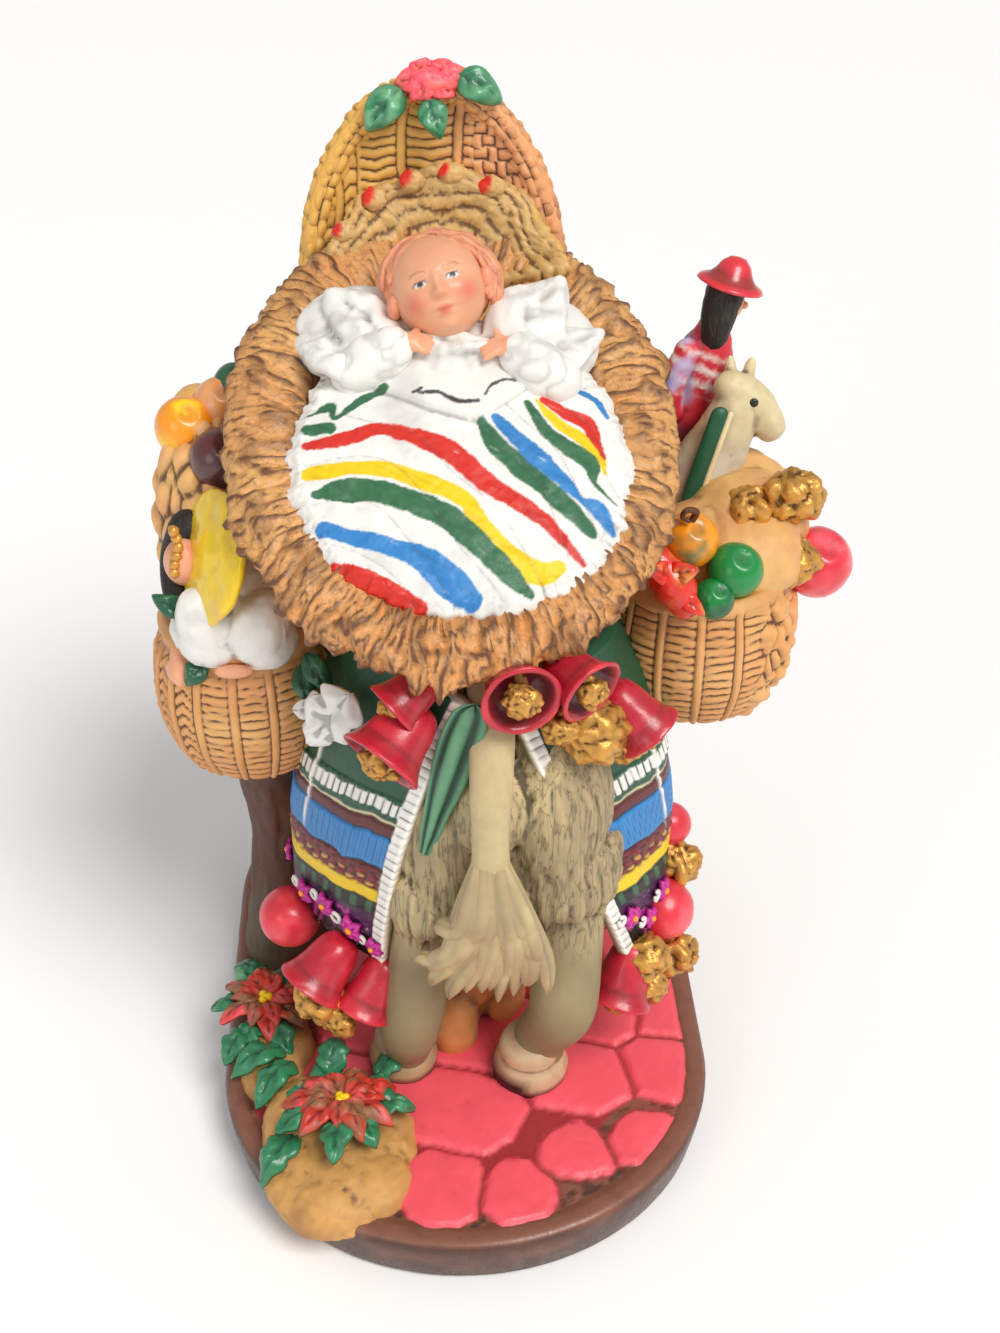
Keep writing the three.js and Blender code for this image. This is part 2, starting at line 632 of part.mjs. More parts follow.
// Seams between joined forms leave many slivers. An edge that matters little is folded into
// one point, as long as the skin stays closed and no face near it turns over.
function thinOut(points, faces, limit) {
  const around = points.map(() => new Set());
  const forms = points.map(() => new Array(10).fill(0));
  faces.forEach((face, k) => {
    const form = planeOf(...face.map((i) => points[i]));
    face.forEach((i) => {
      around[i].add(k);
      form.forEach((value, n) => { forms[i][n] += value; });
    });
  });
  let alive = faces.length;
  const nextTo = (i) => {
    const near = new Set();
    around[i].forEach((k) => faces[k].forEach((j) => near.add(j)));
    near.delete(i);
    return near;
  };
  const keepsFaces = (i, other, place) => {
    for (const k of around[i]) {
      if (faces[k].includes(other)) continue;
      const before = new THREE.Triangle(...faces[k].map((j) => points[j]));
      const after = new THREE.Triangle(...faces[k].map((j) => (j === i ? place : points[j])));
      const [n0, n1] = [before.getNormal(new THREE.Vector3()), after.getNormal(new THREE.Vector3())];
      const { a, b, c } = after;
      const longest = Math.max(a.distanceTo(b), b.distanceTo(c), c.distanceTo(a));
      const sliver = 2 * after.getArea() < 0.04 * longest;
      if (sliver || (before.getArea() > 0.02 && n0.dot(n1) < 0.35)) return false;
    }
    return true;
  };
  for (let pass = 0; pass < 60 && alive > limit; pass++) {
    const edges = [];
    faces.forEach((face) => face && face.forEach((a, n) => {
      const b = face[(n + 1) % 3];
      if (a > b) return;
      const places = [points[a], points[b], points[a].clone().lerp(points[b], 0.5)];
      const costs = places.map((p) => strayOf(forms[a], forms[b], p));
      const cost = Math.min(...costs);
      const place = places[costs.indexOf(cost)];
      edges.push({ a, b, place, cost: cost + 2e-4 * points[a].distanceToSquared(points[b]) });
    }));
    edges.sort((e, f) => e.cost - f.cost);
    const touched = new Set();
    for (const { a, b, place } of edges.slice(0, Math.ceil(edges.length * 0.12))) {
      if (alive <= limit) break;
      if (touched.has(a) || touched.has(b)) continue;
      const [nearA, nearB] = [nextTo(a), nextTo(b)];
      const shared = [...nearA].filter((j) => nearB.has(j));
      if (shared.length !== 2 || !keepsFaces(a, b, place) || !keepsFaces(b, a, place)) continue;
      [...nearA, ...nearB].forEach((j) => touched.add(j));
      points[a] = place.clone();
      forms[a] = forms[a].map((value, n) => value + forms[b][n]);
      for (const k of around[b]) {
        if (faces[k].includes(a)) {
          faces[k].forEach((j) => around[j].delete(k));
          faces[k] = null;
          alive -= 1;
        } else {
          faces[k] = faces[k].map((j) => (j === b ? a : j));
          around[a].add(k);
        }
      }
      around[b] = new Set();
    }
  }
  return faces.filter((face) => face);
}

const parts = [
  makeBase(),
  ...paverMiddles.map(makePaver),
  ...makeGround(),
  ...makePoinsettia([-27, -46, 20], 15, 7, -0.25),
  ...makePoinsettia([-45, -14, 19], 13, 6, 0.1),
  ...makeBurro(),
  ...makeTail(),
  ...makeSerape(),
  ...makeCradle(),
  ...makeHood(),
  ...makeHoodFlower(),
  ...makeHat(),
  ...makeBaby(),
  makeBlanket(),
  makePannier(leftPannier),
  makePannier(rightPannier),
  ...makeLeftGoods(),
  ...makeRightGoods(),
  ...makeToyRider(),
  ...makeBells(),
];

function meshOf(body, name, material) {
  const { vertProperties, triVerts } = body.getMesh();
  const points = Array.from({ length: vertProperties.length / 3 }, (_, i) => (
    new THREE.Vector3().fromArray(vertProperties, i * 3)
  ));
  const faces = Array.from({ length: triVerts.length / 3 }, (_, k) => [...triVerts.slice(k * 3, k * 3 + 3)]);
  const kept = thinOut(points, faces, faceLimit);
  const loose = new THREE.BufferGeometry();
  const corners = kept.flat().flatMap((i) => points[i].toArray());
  loose.setAttribute('position', new THREE.Float32BufferAttribute(corners, 3));
  const geometry = mergeVertices(loose, 1e-5);
  geometry.computeVertexNormals();
  const mesh = new THREE.Mesh(geometry, material);
  mesh.name = name;
  return mesh;
}

const resin = new THREE.MeshStandardMaterial({ color: 0xc49a63, roughness: 0.7, metalness: 0 });
const figurine = new THREE.Group();
figurine.add(meshOf(castTogether(parts), 'burro_figurine', resin));

export default figurine;
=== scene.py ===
# %% [markdown]
# # A laden burro, cast and painted
# The real object is one small casting, about 21 cm tall, poured in resin filled with stone powder.
# It shows a burro seen from behind. On its back lies a hooded wicker cradle with a baby, and at its
# sides hang two panniers, a striped serape, red bells and gilt cones.
# A caster would carve a model with all its detail, mould it and paint each cast by hand.
# The frame below already holds the plain cast form at its real size. This lesson gives it the fine
# surface: weave, fur, straw, cloth and leaves as real mesh relief, and the painter's colours.

# %% Load the frame
import itertools

import bpy
import numpy as np
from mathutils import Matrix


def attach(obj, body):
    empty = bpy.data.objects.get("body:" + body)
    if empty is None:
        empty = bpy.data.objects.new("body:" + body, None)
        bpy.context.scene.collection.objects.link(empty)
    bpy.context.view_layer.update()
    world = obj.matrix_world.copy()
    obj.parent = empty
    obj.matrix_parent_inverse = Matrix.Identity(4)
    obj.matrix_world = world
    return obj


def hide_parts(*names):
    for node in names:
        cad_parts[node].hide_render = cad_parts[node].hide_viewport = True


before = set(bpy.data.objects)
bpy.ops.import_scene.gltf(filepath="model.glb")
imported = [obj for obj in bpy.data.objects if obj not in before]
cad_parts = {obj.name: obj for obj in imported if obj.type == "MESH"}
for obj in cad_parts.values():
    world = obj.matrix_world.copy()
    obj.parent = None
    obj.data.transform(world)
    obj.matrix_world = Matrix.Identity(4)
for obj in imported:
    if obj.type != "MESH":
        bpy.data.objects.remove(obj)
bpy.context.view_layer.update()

MM = 0.001

# %% [markdown]
# ## Working with arrays of points
# Every piece here is a cloud of points in millimetres with a list of triangles over it. Arrays make
# it easy to push many points at once, which is what carving a fine surface comes down to.
# Blender gets the finished mesh at the end, in metres.

# %% Directions, blends and turns
def unit(v):
    return v / np.maximum(np.linalg.norm(v, axis=-1, keepdims=True), 1e-9)


def lerp(a, b, t):
    return a + (b - a) * t


def ease(low, high, value):
    t = np.clip((value - low) / (high - low), 0, 1)
    return t * t * (3 - 2 * t)


def turn_about(axis, degrees):
    c, s = np.cos(np.radians(degrees)), np.sin(np.radians(degrees))
    i, j = [(1, 2), (2, 0), (0, 1)][axis]
    m = np.eye(3)
    m[i, i] = m[j, j] = c
    m[i, j], m[j, i] = -s, s
    return m


def rotation(x=0, y=0, z=0):
    return turn_about(0, x) @ turn_about(1, y) @ turn_about(2, z)


print("a quarter turn about Z takes X to", np.round(rotation(z=90) @ [1, 0, 0], 3))

# %% [markdown]
# ## Seeded roughness
# Nothing on a hand-made casting repeats exactly. Value noise gives soft random bumps, and because
# each value comes from the place itself, the script makes the same figurine on every run.

# %% Noise
def chance(cell, seed):
    """A repeatable random value from -1 to 1 for each whole-numbered place"""
    h = (cell[..., 0] * 73856093) ^ (cell[..., 1] * 19349663) ^ (cell[..., 2] * 83492791) ^ (seed * 7919)
    h = (h ^ (h >> 13)) * 1274126177 % 4294967296
    return ((h >> 9) & 0xFFFF) / 32767.5 - 1


def noise(points, seed=0):
    cell = np.floor(points).astype(np.int64)
    part = points - cell
    part = part * part * (3 - 2 * part)
    total = np.zeros(points.shape[:-1])
    for corner in itertools.product((0, 1), repeat=3):
        weight = np.prod(np.where(np.array(corner) == 1, part, 1 - part), axis=-1)
        total += weight * chance(cell + np.array(corner), seed)
    return total


def rough(points, size, seed=0, octaves=3):
    return sum(noise(points / size * 2 ** k, seed + k) / 2 ** k for k in range(octaves)) / 1.6


def knobs(points, size, seed=0):
    """Rounded pebbles packed side by side: 1 on their crowns and 0 in the joints"""
    p = points / size
    cell = np.floor(p).astype(np.int64)
    first, second = np.full(len(p), 9.0), np.full(len(p), 9.0)
    for step in itertools.product((-1, 0, 1), repeat=3):
        c = cell + np.array(step)
        middle = c + 0.5 + 0.36 * np.stack([chance(c, seed + k) for k in range(3)], -1)
        away = np.linalg.norm(p - middle, axis=1)
        second = np.minimum(second, np.maximum(first, away))
        first = np.minimum(first, away)
    return 1 - np.exp(-4 * (second - first))


def cracks(points, size, seed=0):
    """1 along thin winding lines and 0 between them"""
    return 1 - ease(0.02, 0.22, np.abs(rough(points, size, seed, 2)))


print("noise between", rough(np.random.default_rng(1).random((999, 3)) * 50, 4).round(2).min(), "and 1")

# %% [markdown]
# ## Skins, limbs, eggs and turned forms
# The same few makers serve for everything. A skin is stretched over a row of rings, a limb is a row
# of oval rings along a path, an egg is a stretched ball, and a turned form is what a lathe would make.

# %% Skins over rings
def outward(verts, tris):
    a, b, c = verts[tris[:, 0]], verts[tris[:, 1]], verts[tris[:, 2]]
    volume = np.einsum("ij,ij->", a, np.cross(b, c))
    return verts, (tris if volume > 0 else tris[:, ::-1])


def skin(rings, caps=True, closed=True):
    rings = np.asarray(rings, float)
    grid = np.arange(rings.shape[0] * rings.shape[1]).reshape(rings.shape[:2])
    left, right = (grid, np.roll(grid, -1, axis=1)) if closed else (grid[:, :-1], grid[:, 1:])
    a, b, c, d = left[:-1], right[:-1], right[1:], left[1:]
    tris = [np.stack(t, -1).reshape(-1, 3) for t in ((a, b, c), (a, c, d))]
    verts = rings.reshape(-1, 3)
    if caps:
        verts = np.concatenate([verts, rings[[0, -1]].mean(axis=1)])
        first, last = np.full_like(left[0], len(verts) - 2), np.full_like(left[0], len(verts) - 1)
        tris += [np.stack([first, right[0], left[0]], -1), np.stack([last, left[-1], right[-1]], -1)]
    return outward(verts, np.concatenate(tris)) if caps else (verts, np.concatenate(tris))


def join(*shapes):
    starts = np.cumsum([0] + [len(s[0]) for s in shapes[:-1]])
    return np.concatenate([s[0] for s in shapes]), np.concatenate([s[1] + k for s, k in zip(shapes, starts)])


# %% Limbs, eggs and turned forms
def curve(points, count):
    """A smooth line through points; it also takes a row of lines"""
    p = np.asarray(points, float)
    p = np.concatenate([2 * p[:1] - p[1:2], p, 2 * p[-1:] - p[-2:-1]])
    t = np.linspace(0, len(p) - 3, count)
    i = np.minimum(t.astype(int), len(p) - 4)
    f = (t - i).reshape((-1,) + (1,) * (p.ndim - 1))
    a, b, c, d = p[i], p[i + 1], p[i + 2], p[i + 3]
    cubic = (3 * b - a - 3 * c + d) * f ** 3
    return 0.5 * (2 * b + (c - a) * f + (2 * a - 5 * b + 4 * c - d) * f ** 2 + cubic)


def limb(stations, sides=20, count=36, side=(1, 0, 0), rounded=True):
    """Stations are x, y, z, half width and, where it differs, half depth"""
    rows = curve([list(s) + [s[3]] * (5 - len(s)) for s in stations], count)
    middle, width, depth = rows[:, :3], rows[:, 3:4], rows[:, 4:5]
    along = unit(np.gradient(middle, axis=0))
    if rounded:
        bulge = np.linspace(0, 0.5 * np.pi, 5)[1:]
        shrink = np.maximum(np.cos(bulge), 0.02)[:, None]
        start = middle[0] - along[0] * np.sin(bulge)[:, None] * width[0]
        end = middle[-1] + along[-1] * np.sin(bulge)[:, None] * width[-1]
        middle = np.vstack([start[::-1], middle, end])
        width, depth = [np.vstack([shrink[::-1] * w[0], w, shrink * w[-1]]) for w in (width, depth)]
        along = np.vstack([np.repeat(along[:1], 4, 0), along, np.repeat(along[-1:], 4, 0)])
    across = unit(np.array(side, float) - (along @ np.array(side, float))[:, None] * along)
    up = np.cross(along, across)
    turn = np.linspace(0, 2 * np.pi, sides, endpoint=False)[None, :, None]
    oval = (width * across)[:, None] * np.cos(turn) + (depth * up)[:, None] * np.sin(turn)
    return skin(middle[:, None] + oval)


def egg(centre, radii, detail=32, turn=(0, 0, 0), bumps=0.0, size=4.0, seed=0):
    radii = np.broadcast_to(np.array(radii, float), 3)
    down = np.linspace(0.01, np.pi - 0.01, detail // 2 + 1)[:, None, None]
    around = np.linspace(0, 2 * np.pi, detail, endpoint=False)[None, :, None]
    ball = np.concatenate([np.sin(down) * np.cos(around), np.sin(down) * np.sin(around),
                           np.cos(down) * np.ones_like(around)], -1)
    swell = 1 + bumps * rough(ball * radii + np.array(centre), size, seed)[..., None]
    return skin((ball * radii * swell) @ rotation(*turn).T + np.array(centre, float))


def frame_of(axis):
    axis = unit(np.array(axis, float))
    across = unit(np.cross(axis, [0.1, 0.2, 1]) if abs(axis[2]) < 0.9 else np.cross(axis, [0, 1, 0]))
    return across, np.cross(axis, across), axis


def turned(foot, top, rows, sides=48):
    """Rows are the height from 0 to 1 and the radius there"""
    foot, top = np.array(foot, float), np.array(top, float)
    across, up, axis = frame_of(top - foot)
    turn = np.linspace(0, 2 * np.pi, sides, endpoint=False)[:, None]
    spoke = np.cos(turn) * across + np.sin(turn) * up
    return skin([foot + (top - foot) * t + spoke * max(r, 0.01) for t, r in rows])


print("an egg has", len(egg((0, 0, 0), 5)[1]), "triangles")

# %% [markdown]
# ## Carving
# A carver's moves in array form: find which way each point faces, push points along that way,
# smooth them towards their neighbours, and melt overlapping forms into one skin, as clay would.

# %% Facing, pushing and smoothing
def facing(verts, tris):
    flat = np.cross(verts[tris[:, 1]] - verts[tris[:, 0]], verts[tris[:, 2]] - verts[tris[:, 0]])
    total = np.zeros_like(verts)
    for corner, axis in itertools.product(range(3), range(3)):
        total[:, axis] += np.bincount(tris[:, corner], flat[:, axis], len(verts))
    return unit(total)


def pushed(shape, height):
    verts, tris = shape
    return verts + facing(verts, tris) * np.asarray(height)[:, None], tris


def near_mean(values, tris):
    total, count = np.zeros_like(values), np.zeros(len(values))
    for i, j in ((0, 1), (1, 2), (2, 0)):
        for a, b in ((i, j), (j, i)):
            for axis in range(values.shape[1]):
                total[:, axis] += np.bincount(tris[:, a], values[tris[:, b], axis], len(values))
            count += np.bincount(tris[:, a], minlength=len(values))
    return total / np.maximum(count, 1)[:, None]


def relaxed(shape, steps=2, amount=0.6):
    verts, tris = shape
    for _ in range(steps):
        verts = lerp(verts, near_mean(verts, tris), amount)
    return verts, tris


def melted(shapes, grain, steps=2):
    """One skin around forms that overlap, with triangles about as large as the grain"""
    verts, tris = join(*shapes)
    mesh = bpy.data.meshes.new("clay")
    mesh.from_pydata(verts.tolist(), [], tris.tolist())
    clay = bpy.data.objects.new("clay", mesh)
    bpy.context.scene.collection.objects.link(clay)
    remesh = clay.modifiers.new("skin", "REMESH")
    remesh.mode = "VOXEL"
    remesh.voxel_size = grain
    bpy.context.view_layer.update()
    done = clay.evaluated_get(bpy.context.evaluated_depsgraph_get()).to_mesh()
    done.calc_loop_triangles()
    verts, tris = np.zeros(len(done.vertices) * 3), np.zeros(len(done.loop_triangles) * 3, np.int32)
    done.vertices.foreach_get("co", verts)
    done.loop_triangles.foreach_get("vertices", tris)
    bpy.data.objects.remove(clay)
    bpy.data.meshes.remove(mesh)
    return relaxed((verts.reshape(-1, 3), tris.reshape(-1, 3).astype(np.int64)), steps)


# %% [markdown]
# ## Finishes
# The painter covers the pale resin with matt colours. Each point of a piece carries its paint colour
# and a number that says how deep in a groove it lies. From that number each finish mixes painted
# shade, a dark colour in the grooves, and a painted highlight, a lighter colour on the high points,
# with brush mottling, gloss and a fine grain of its own.

# %% Colours
def srgb(*rgb):
    c = np.array(rgb, float) / 255
    return np.where(c <= 0.04045, c / 12.92, ((c + 0.055) / 1.055) ** 2.4)


COLOURS = {
    "wicker": srgb(212, 152, 92), "wicker_pale": srgb(222, 174, 108), "ochre": srgb(216, 168, 84),
    "peach": srgb(222, 158, 108), "bark": srgb(92, 52, 28), "straw": srgb(200, 164, 104),
    "fur": srgb(166, 148, 112), "fur_pale": srgb(202, 184, 138), "fur_dark": srgb(74, 60, 38),
    "hoof": srgb(204, 172, 138), "coral": srgb(250, 92, 106), "coral_dark": srgb(150, 40, 44),
    "copper": srgb(138, 90, 72), "base": srgb(78, 50, 42), "ground": srgb(200, 150, 84),
    "white": srgb(238, 236, 230), "shade": srgb(190, 188, 184), "red": srgb(214, 42, 28),
    "yellow": srgb(244, 206, 4), "green": srgb(52, 108, 72), "blue": srgb(48, 130, 198),
    "dark_green": srgb(24, 80, 54), "maroon": srgb(96, 26, 32), "black": srgb(26, 24, 24),
    "purple": srgb(70, 30, 72), "magenta": srgb(186, 48, 146), "bell": srgb(178, 28, 48),
    "ball": srgb(208, 46, 62), "gilt": srgb(196, 146, 72), "gilt_dark": srgb(84, 46, 14),
    "leaf": srgb(38, 112, 76), "leaf_pale": srgb(128, 188, 148), "petal": srgb(186, 52, 40),
    "stump": srgb(84, 50, 34), "boulder": srgb(208, 138, 82), "skin": srgb(234, 170, 132),
    "blush": srgb(222, 112, 92), "hair": srgb(222, 150, 116), "grey": srgb(70, 66, 70),
    "orange": srgb(238, 148, 20), "plum": srgb(84, 48, 48), "emerald": srgb(8, 128, 58),
    "lilac": srgb(190, 170, 208), "cream": srgb(214, 198, 156), "olive": srgb(88, 84, 52),
}
print(len(COLOURS), "paints on the palette")


# %% Mixing paint over the points
def coat(verts, colour):
    return np.repeat(COLOURS[colour][None], len(verts), 0)


def over(paint, colour, share):
    colour = COLOURS[colour] if isinstance(colour, str) else colour
    return lerp(paint, colour, np.clip(share, 0, 1)[:, None])


# %% One finish maker for all the paints
def finish(name, roughness=0.55, groove_shade=0.7, shade_colour="bark", crest_highlight=0.25, mottle=0.12, grain=0.25,
           grain_size=0.4, metal=0.0, gloss=0.0, fibre=0.0, fibre_size=2.0, streak=(1, 1, 1)):
    material = bpy.data.materials.new(name)
    material.use_nodes = True
    nodes, links = material.node_tree.nodes, material.node_tree.links
    shader = nodes["Principled BSDF"]
    shader.inputs["Roughness"].default_value = roughness
    shader.inputs["Metallic"].default_value = metal
    shader.inputs["Coat Weight"].default_value = gloss
    shader.inputs["Coat Roughness"].default_value = 0.18

    def node(kind, **values):
        made = nodes.new(kind)
        for key, value in values.items():
            setattr(made, key, value)
        return made

    def noise_node(size, detail, streak=(1, 1, 1)):
        place = node("ShaderNodeTexCoord")
        scale = node("ShaderNodeMapping")
        scale.inputs["Scale"].default_value = [s / (size * MM) for s in streak]
        texture = node("ShaderNodeTexNoise")
        texture.inputs["Scale"].default_value = 1.0
        texture.inputs["Detail"].default_value = detail
        links.new(place.outputs["Object"], scale.inputs["Vector"])
        links.new(scale.outputs["Vector"], texture.inputs["Vector"])
        return texture.outputs["Fac"]

    def ranged(source, low, high, to_low, to_high):
        made = node("ShaderNodeMapRange")
        for key, value in zip(("From Min", "From Max", "To Min", "To Max"), (low, high, to_low, to_high)):
            made.inputs[key].default_value = value
        links.new(source, made.inputs["Value"])
        return made.outputs["Result"]

    def blended(kind, factor, a, b):
        made = node("ShaderNodeMix", data_type="RGBA", blend_type=kind)
        links.new(factor, made.inputs["Factor"])
        for source, socket in ((a, made.inputs[6]), (b, made.inputs[7])):
            if isinstance(source, tuple):
                socket.default_value = source
            else:
                links.new(source, socket)
        return made.outputs[2]

    painted = node("ShaderNodeAttribute", attribute_name="paint")
    paint = painted.outputs["Color"]
    groove = node("ShaderNodeAttribute", attribute_name="groove").outputs["Fac"]
    mottled = noise_node(3.2, 4.0)
    dark = blended("MULTIPLY", ranged(mottled, 0.5, 0.75, 0, mottle * 3), paint, (0.62, 0.52, 0.45, 1))
    light = blended("MULTIPLY", ranged(mottled, 0.5, 0.25, 0, mottle * 3), dark, (1.2, 1.16, 1.1, 1))
    # Painted highlight lightens the high points, and painted shade darkens the grooves towards the shade colour; thin
    # fibre lines take that dark colour too.
    highlighted = blended("MULTIPLY", ranged(groove, -0.1, -0.8, 0, crest_highlight), light, (1.9, 1.75, 1.6, 1))
    shaded = blended("MIX", ranged(groove, 0.08, 0.7, 0, groove_shade), highlighted, (*COLOURS[shade_colour], 1))
    hairs = node("ShaderNodeMath", operation="PINGPONG")
    hairs.inputs[1].default_value = 0.5
    links.new(noise_node(fibre_size, 2.0, streak), hairs.inputs[0])
    line = node("ShaderNodeMath", operation="MULTIPLY")
    links.new(ranged(hairs.outputs[0], 0.5, 0.46, fibre, 0), line.inputs[0])
    links.new(painted.outputs["Alpha"], line.inputs[1])
    links.new(blended("MIX", line.outputs[0], shaded, (*COLOURS[shade_colour], 1)), shader.inputs["Base Color"])
    fine = noise_node(grain_size, 3.0)
    links.new(ranged(fine, 0.3, 0.7, max(roughness - 0.1, 0.05), min(roughness + 0.12, 1)),
              shader.inputs["Roughness"])
    bump = node("ShaderNodeBump")
    bump.inputs["Strength"].default_value = grain
    bump.inputs["Distance"].default_value = 0.15 * MM
    links.new(fine, bump.inputs["Height"])
    links.new(bump.outputs["Normal"], shader.inputs["Normal"])
    return material


# %% [markdown]
# ## Handing a piece to Blender
# Each piece becomes an object that rides with the figurine's one body and stands for the plain
# casting. Its groove number is measured on the mesh itself: smooth the piece, and see which points
# the smoothing lifts out, because those lay in a hollow. A piece with many triangles is then thinned:
# most of them lie on plain stretches, and dropping those hardly changes the carving. Striped cloth
# keeps all its points, because the paint is stored on them, and so do the glossy bells.

# %% From points to a piece
def groove_depth(shape, depth, steps):
    verts, tris = shape
    soft, _ = relaxed(shape, steps, 0.9)
    lifted = np.einsum("ij,ij->i", soft - verts, facing(verts, tris))
    return np.clip(lifted / depth, -1, 1)


fine_piece = 3000


def thinned(made, keep):
    """Drops triangles where a form is plain and keeps them where it is carved"""
    thin = made.modifiers.new("thin", "DECIMATE")
    thin.ratio = keep
    graph = bpy.context.evaluated_depsgraph_get()
    seen = made.evaluated_get(graph)
    mesh = bpy.data.meshes.new_from_object(seen, preserve_all_data_layers=True, depsgraph=graph)
    made.modifiers.remove(thin)
    made.data = mesh
    return mesh


def piece(name, shape, material, paint, depth=0.2, steps=4, fibres=1.0, keep=0.37):
    verts, tris = shape
    mesh = bpy.data.meshes.new(name)
    mesh.vertices.add(len(verts))
    mesh.vertices.foreach_set("co", (verts * MM).ravel())
    mesh.loops.add(tris.size)
    mesh.loops.foreach_set("vertex_index", tris.ravel().astype(np.int32))
    mesh.polygons.add(len(tris))
    mesh.polygons.foreach_set("loop_start", np.arange(0, tris.size, 3, dtype=np.int32))
    mesh.polygons.foreach_set("use_smooth", np.ones(len(tris), bool))
    mesh.update(calc_edges=True)
    colours = coat(verts, paint) if isinstance(paint, str) else paint
    rgba = np.concatenate([np.clip(colours, 0, 1), np.ones((len(verts), 1)) * np.reshape(fibres, (-1, 1))], 1)
    mesh.attributes.new("paint", "FLOAT_COLOR", "POINT").data.foreach_set("color", rgba.ravel())
    grooves = groove_depth(shape, depth, steps)
    mesh.attributes.new("groove", "FLOAT", "POINT").data.foreach_set("value", grooves)
    mesh.materials.append(material)
    made = bpy.data.objects.new(name, mesh)
    bpy.context.scene.collection.objects.link(made)
    if keep < 1 and len(tris) > fine_piece:
        mesh = thinned(made, keep)
    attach(made, "root")
    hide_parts("burro_figurine")
    print(f"{name}: {len(mesh.polygons)} triangles")
    return made


# %% [markdown]
# ## Camera, light and floor
# The photo looks down on the figurine at 35 degrees, from a few degrees left of straight behind.
# A white floor, a soft window light from the right and a weak fill from the left stand in for the
# bright table and room of the photo.

# %% Camera
scene = bpy.context.scene
scene.view_settings.view_transform = "Standard"
camera_pitch, camera_azimuth = 35.0, -3.0
camera_place = np.array([-7.1, -307.1, 316.2])
camera = bpy.data.objects.new("camera", bpy.data.cameras.new("camera"))
camera.data.lens = 48.6
camera.data.sensor_width = 36.0
camera.data.clip_start = 0.01
camera.location = camera_place * MM
camera.rotation_euler = np.radians([90 - camera_pitch, 0, camera_azimuth])
scene.collection.objects.link(camera)
scene.camera = camera

# %% Lights and floor
def light(name, place, aim, size, power, colour=(1, 1, 1)):
    lamp = bpy.data.objects.new(name, bpy.data.lights.new(name, "AREA"))
    lamp.data.shape = "DISK"
    lamp.data.size = size
    lamp.data.energy = power
    lamp.data.color = colour
    back = unit(np.array(place, float) - np.array(aim, float))
    up = unit(np.cross(back, np.cross([0, 0, 1], back)))
    pose = np.eye(4)
    pose[:3, :3] = np.stack([np.cross(up, back), up, back], 1)
    pose[:3, 3] = place
    lamp.matrix_world = pose.T.tolist()
    scene.collection.objects.link(lamp)


def sun(name, aim, power, softness, colour=(1, 1, 1)):
    lamp = bpy.data.objects.new(name, bpy.data.lights.new(name, "SUN"))
    lamp.data.energy = power
    lamp.data.angle = np.radians(softness)
    lamp.data.color = colour
    lamp.rotation_euler = np.radians(aim)
    scene.collection.objects.link(lamp)


sun("window", (38, 0, 38), 2.3, 28, (1.0, 0.98, 0.95))
light("fill", (-0.6, -0.7, 0.5), (0, 0, 0.1), 0.5, 1.2, (0.97, 0.98, 1.0))
scene.world = bpy.data.worlds.new("room")
scene.world.use_nodes = True
scene.world.node_tree.nodes["Background"].inputs["Color"].default_value = (1, 1, 1, 1)
scene.world.node_tree.nodes["Background"].inputs["Strength"].default_value = 0.45

floor_size = 3.0
floor_mesh = bpy.data.meshes.new("floor")
floor_corners = [(sx * floor_size, sy * floor_size, 0) for sx, sy in ((-1, -1), (1, -1), (1, 1), (-1, 1))]
floor_mesh.from_pydata(floor_corners, [], [(0, 1, 2, 3)])
floor = bpy.data.objects.new("floor", floor_mesh)
floor_finish = bpy.data.materials.new("pale_floor")
floor_finish.use_nodes = True
floor_finish.node_tree.nodes["Principled BSDF"].inputs["Base Color"].default_value = (1, 1, 1, 1)
floor_finish.node_tree.nodes["Principled BSDF"].inputs["Roughness"].default_value = 0.6
floor_mesh.materials.append(floor_finish)
scene.collection.objects.link(floor)
print("camera at", (camera_place / 10).round(1), "cm")

# %% [markdown]
# ## The finishes on this figurine
# Wicker, straw and fur are painted matt and get a lot of painted shade in their grooves. The bells, leaves
# and balls are painted with thicker, glossier colour, and the cones and clappers with gold paint.

# %% Finishes
# Each finish sets how much painted shade goes into its grooves and how much painted highlight onto its crests.
WICKER = finish("painted_wicker", 0.5, groove_shade=0.9, crest_highlight=0.2, mottle=0.06, grain=0.3)
CRUMPLED = finish("crumpled_straw", 0.5, groove_shade=0.85, crest_highlight=0.2, mottle=0.06, grain=0.4, fibre=0.35, fibre_size=2.2)
STRAW = finish("straw_paint", 0.5, groove_shade=0.8, crest_highlight=0.25, grain=0.35)
FUR = finish("fur_paint", 0.58, groove_shade=0.9, shade_colour="fur_dark", crest_highlight=0.3, mottle=0.05, fibre=0.6,
             fibre_size=1.5, streak=(1, 1, 0.1))
HIDE = finish("smooth_fur_paint", 0.5, groove_shade=0.8, shade_colour="fur_dark", crest_highlight=0.2, mottle=0.08)
HOOF = finish("hoof_paint", 0.4, groove_shade=0.6, crest_highlight=0.1)
CLOTH = finish("white_paint", 0.5, groove_shade=0.5, shade_colour="grey", crest_highlight=0.0, mottle=0.03, grain=0.2)
SKIN = finish("skin_paint", 0.38, groove_shade=0.45, shade_colour="blush", crest_highlight=0.1, mottle=0.04, grain=0.06)
GLOSS = finish("bell_paint", 0.34, groove_shade=0.6, shade_colour="maroon", crest_highlight=0.4, mottle=0.08, gloss=0.3)
GILT = finish("gilt_paint", 0.38, groove_shade=0.9, shade_colour="gilt_dark", crest_highlight=0.35, metal=0.55, grain=0.5)
FRUIT = finish("fruit_paint", 0.3, groove_shade=0.5, crest_highlight=0.2, mottle=0.06, gloss=0.4, grain=0.1)
LEAF = finish("leaf_paint", 0.36, groove_shade=0.6, shade_colour="dark_green", crest_highlight=0.5, mottle=0.08, gloss=0.3)
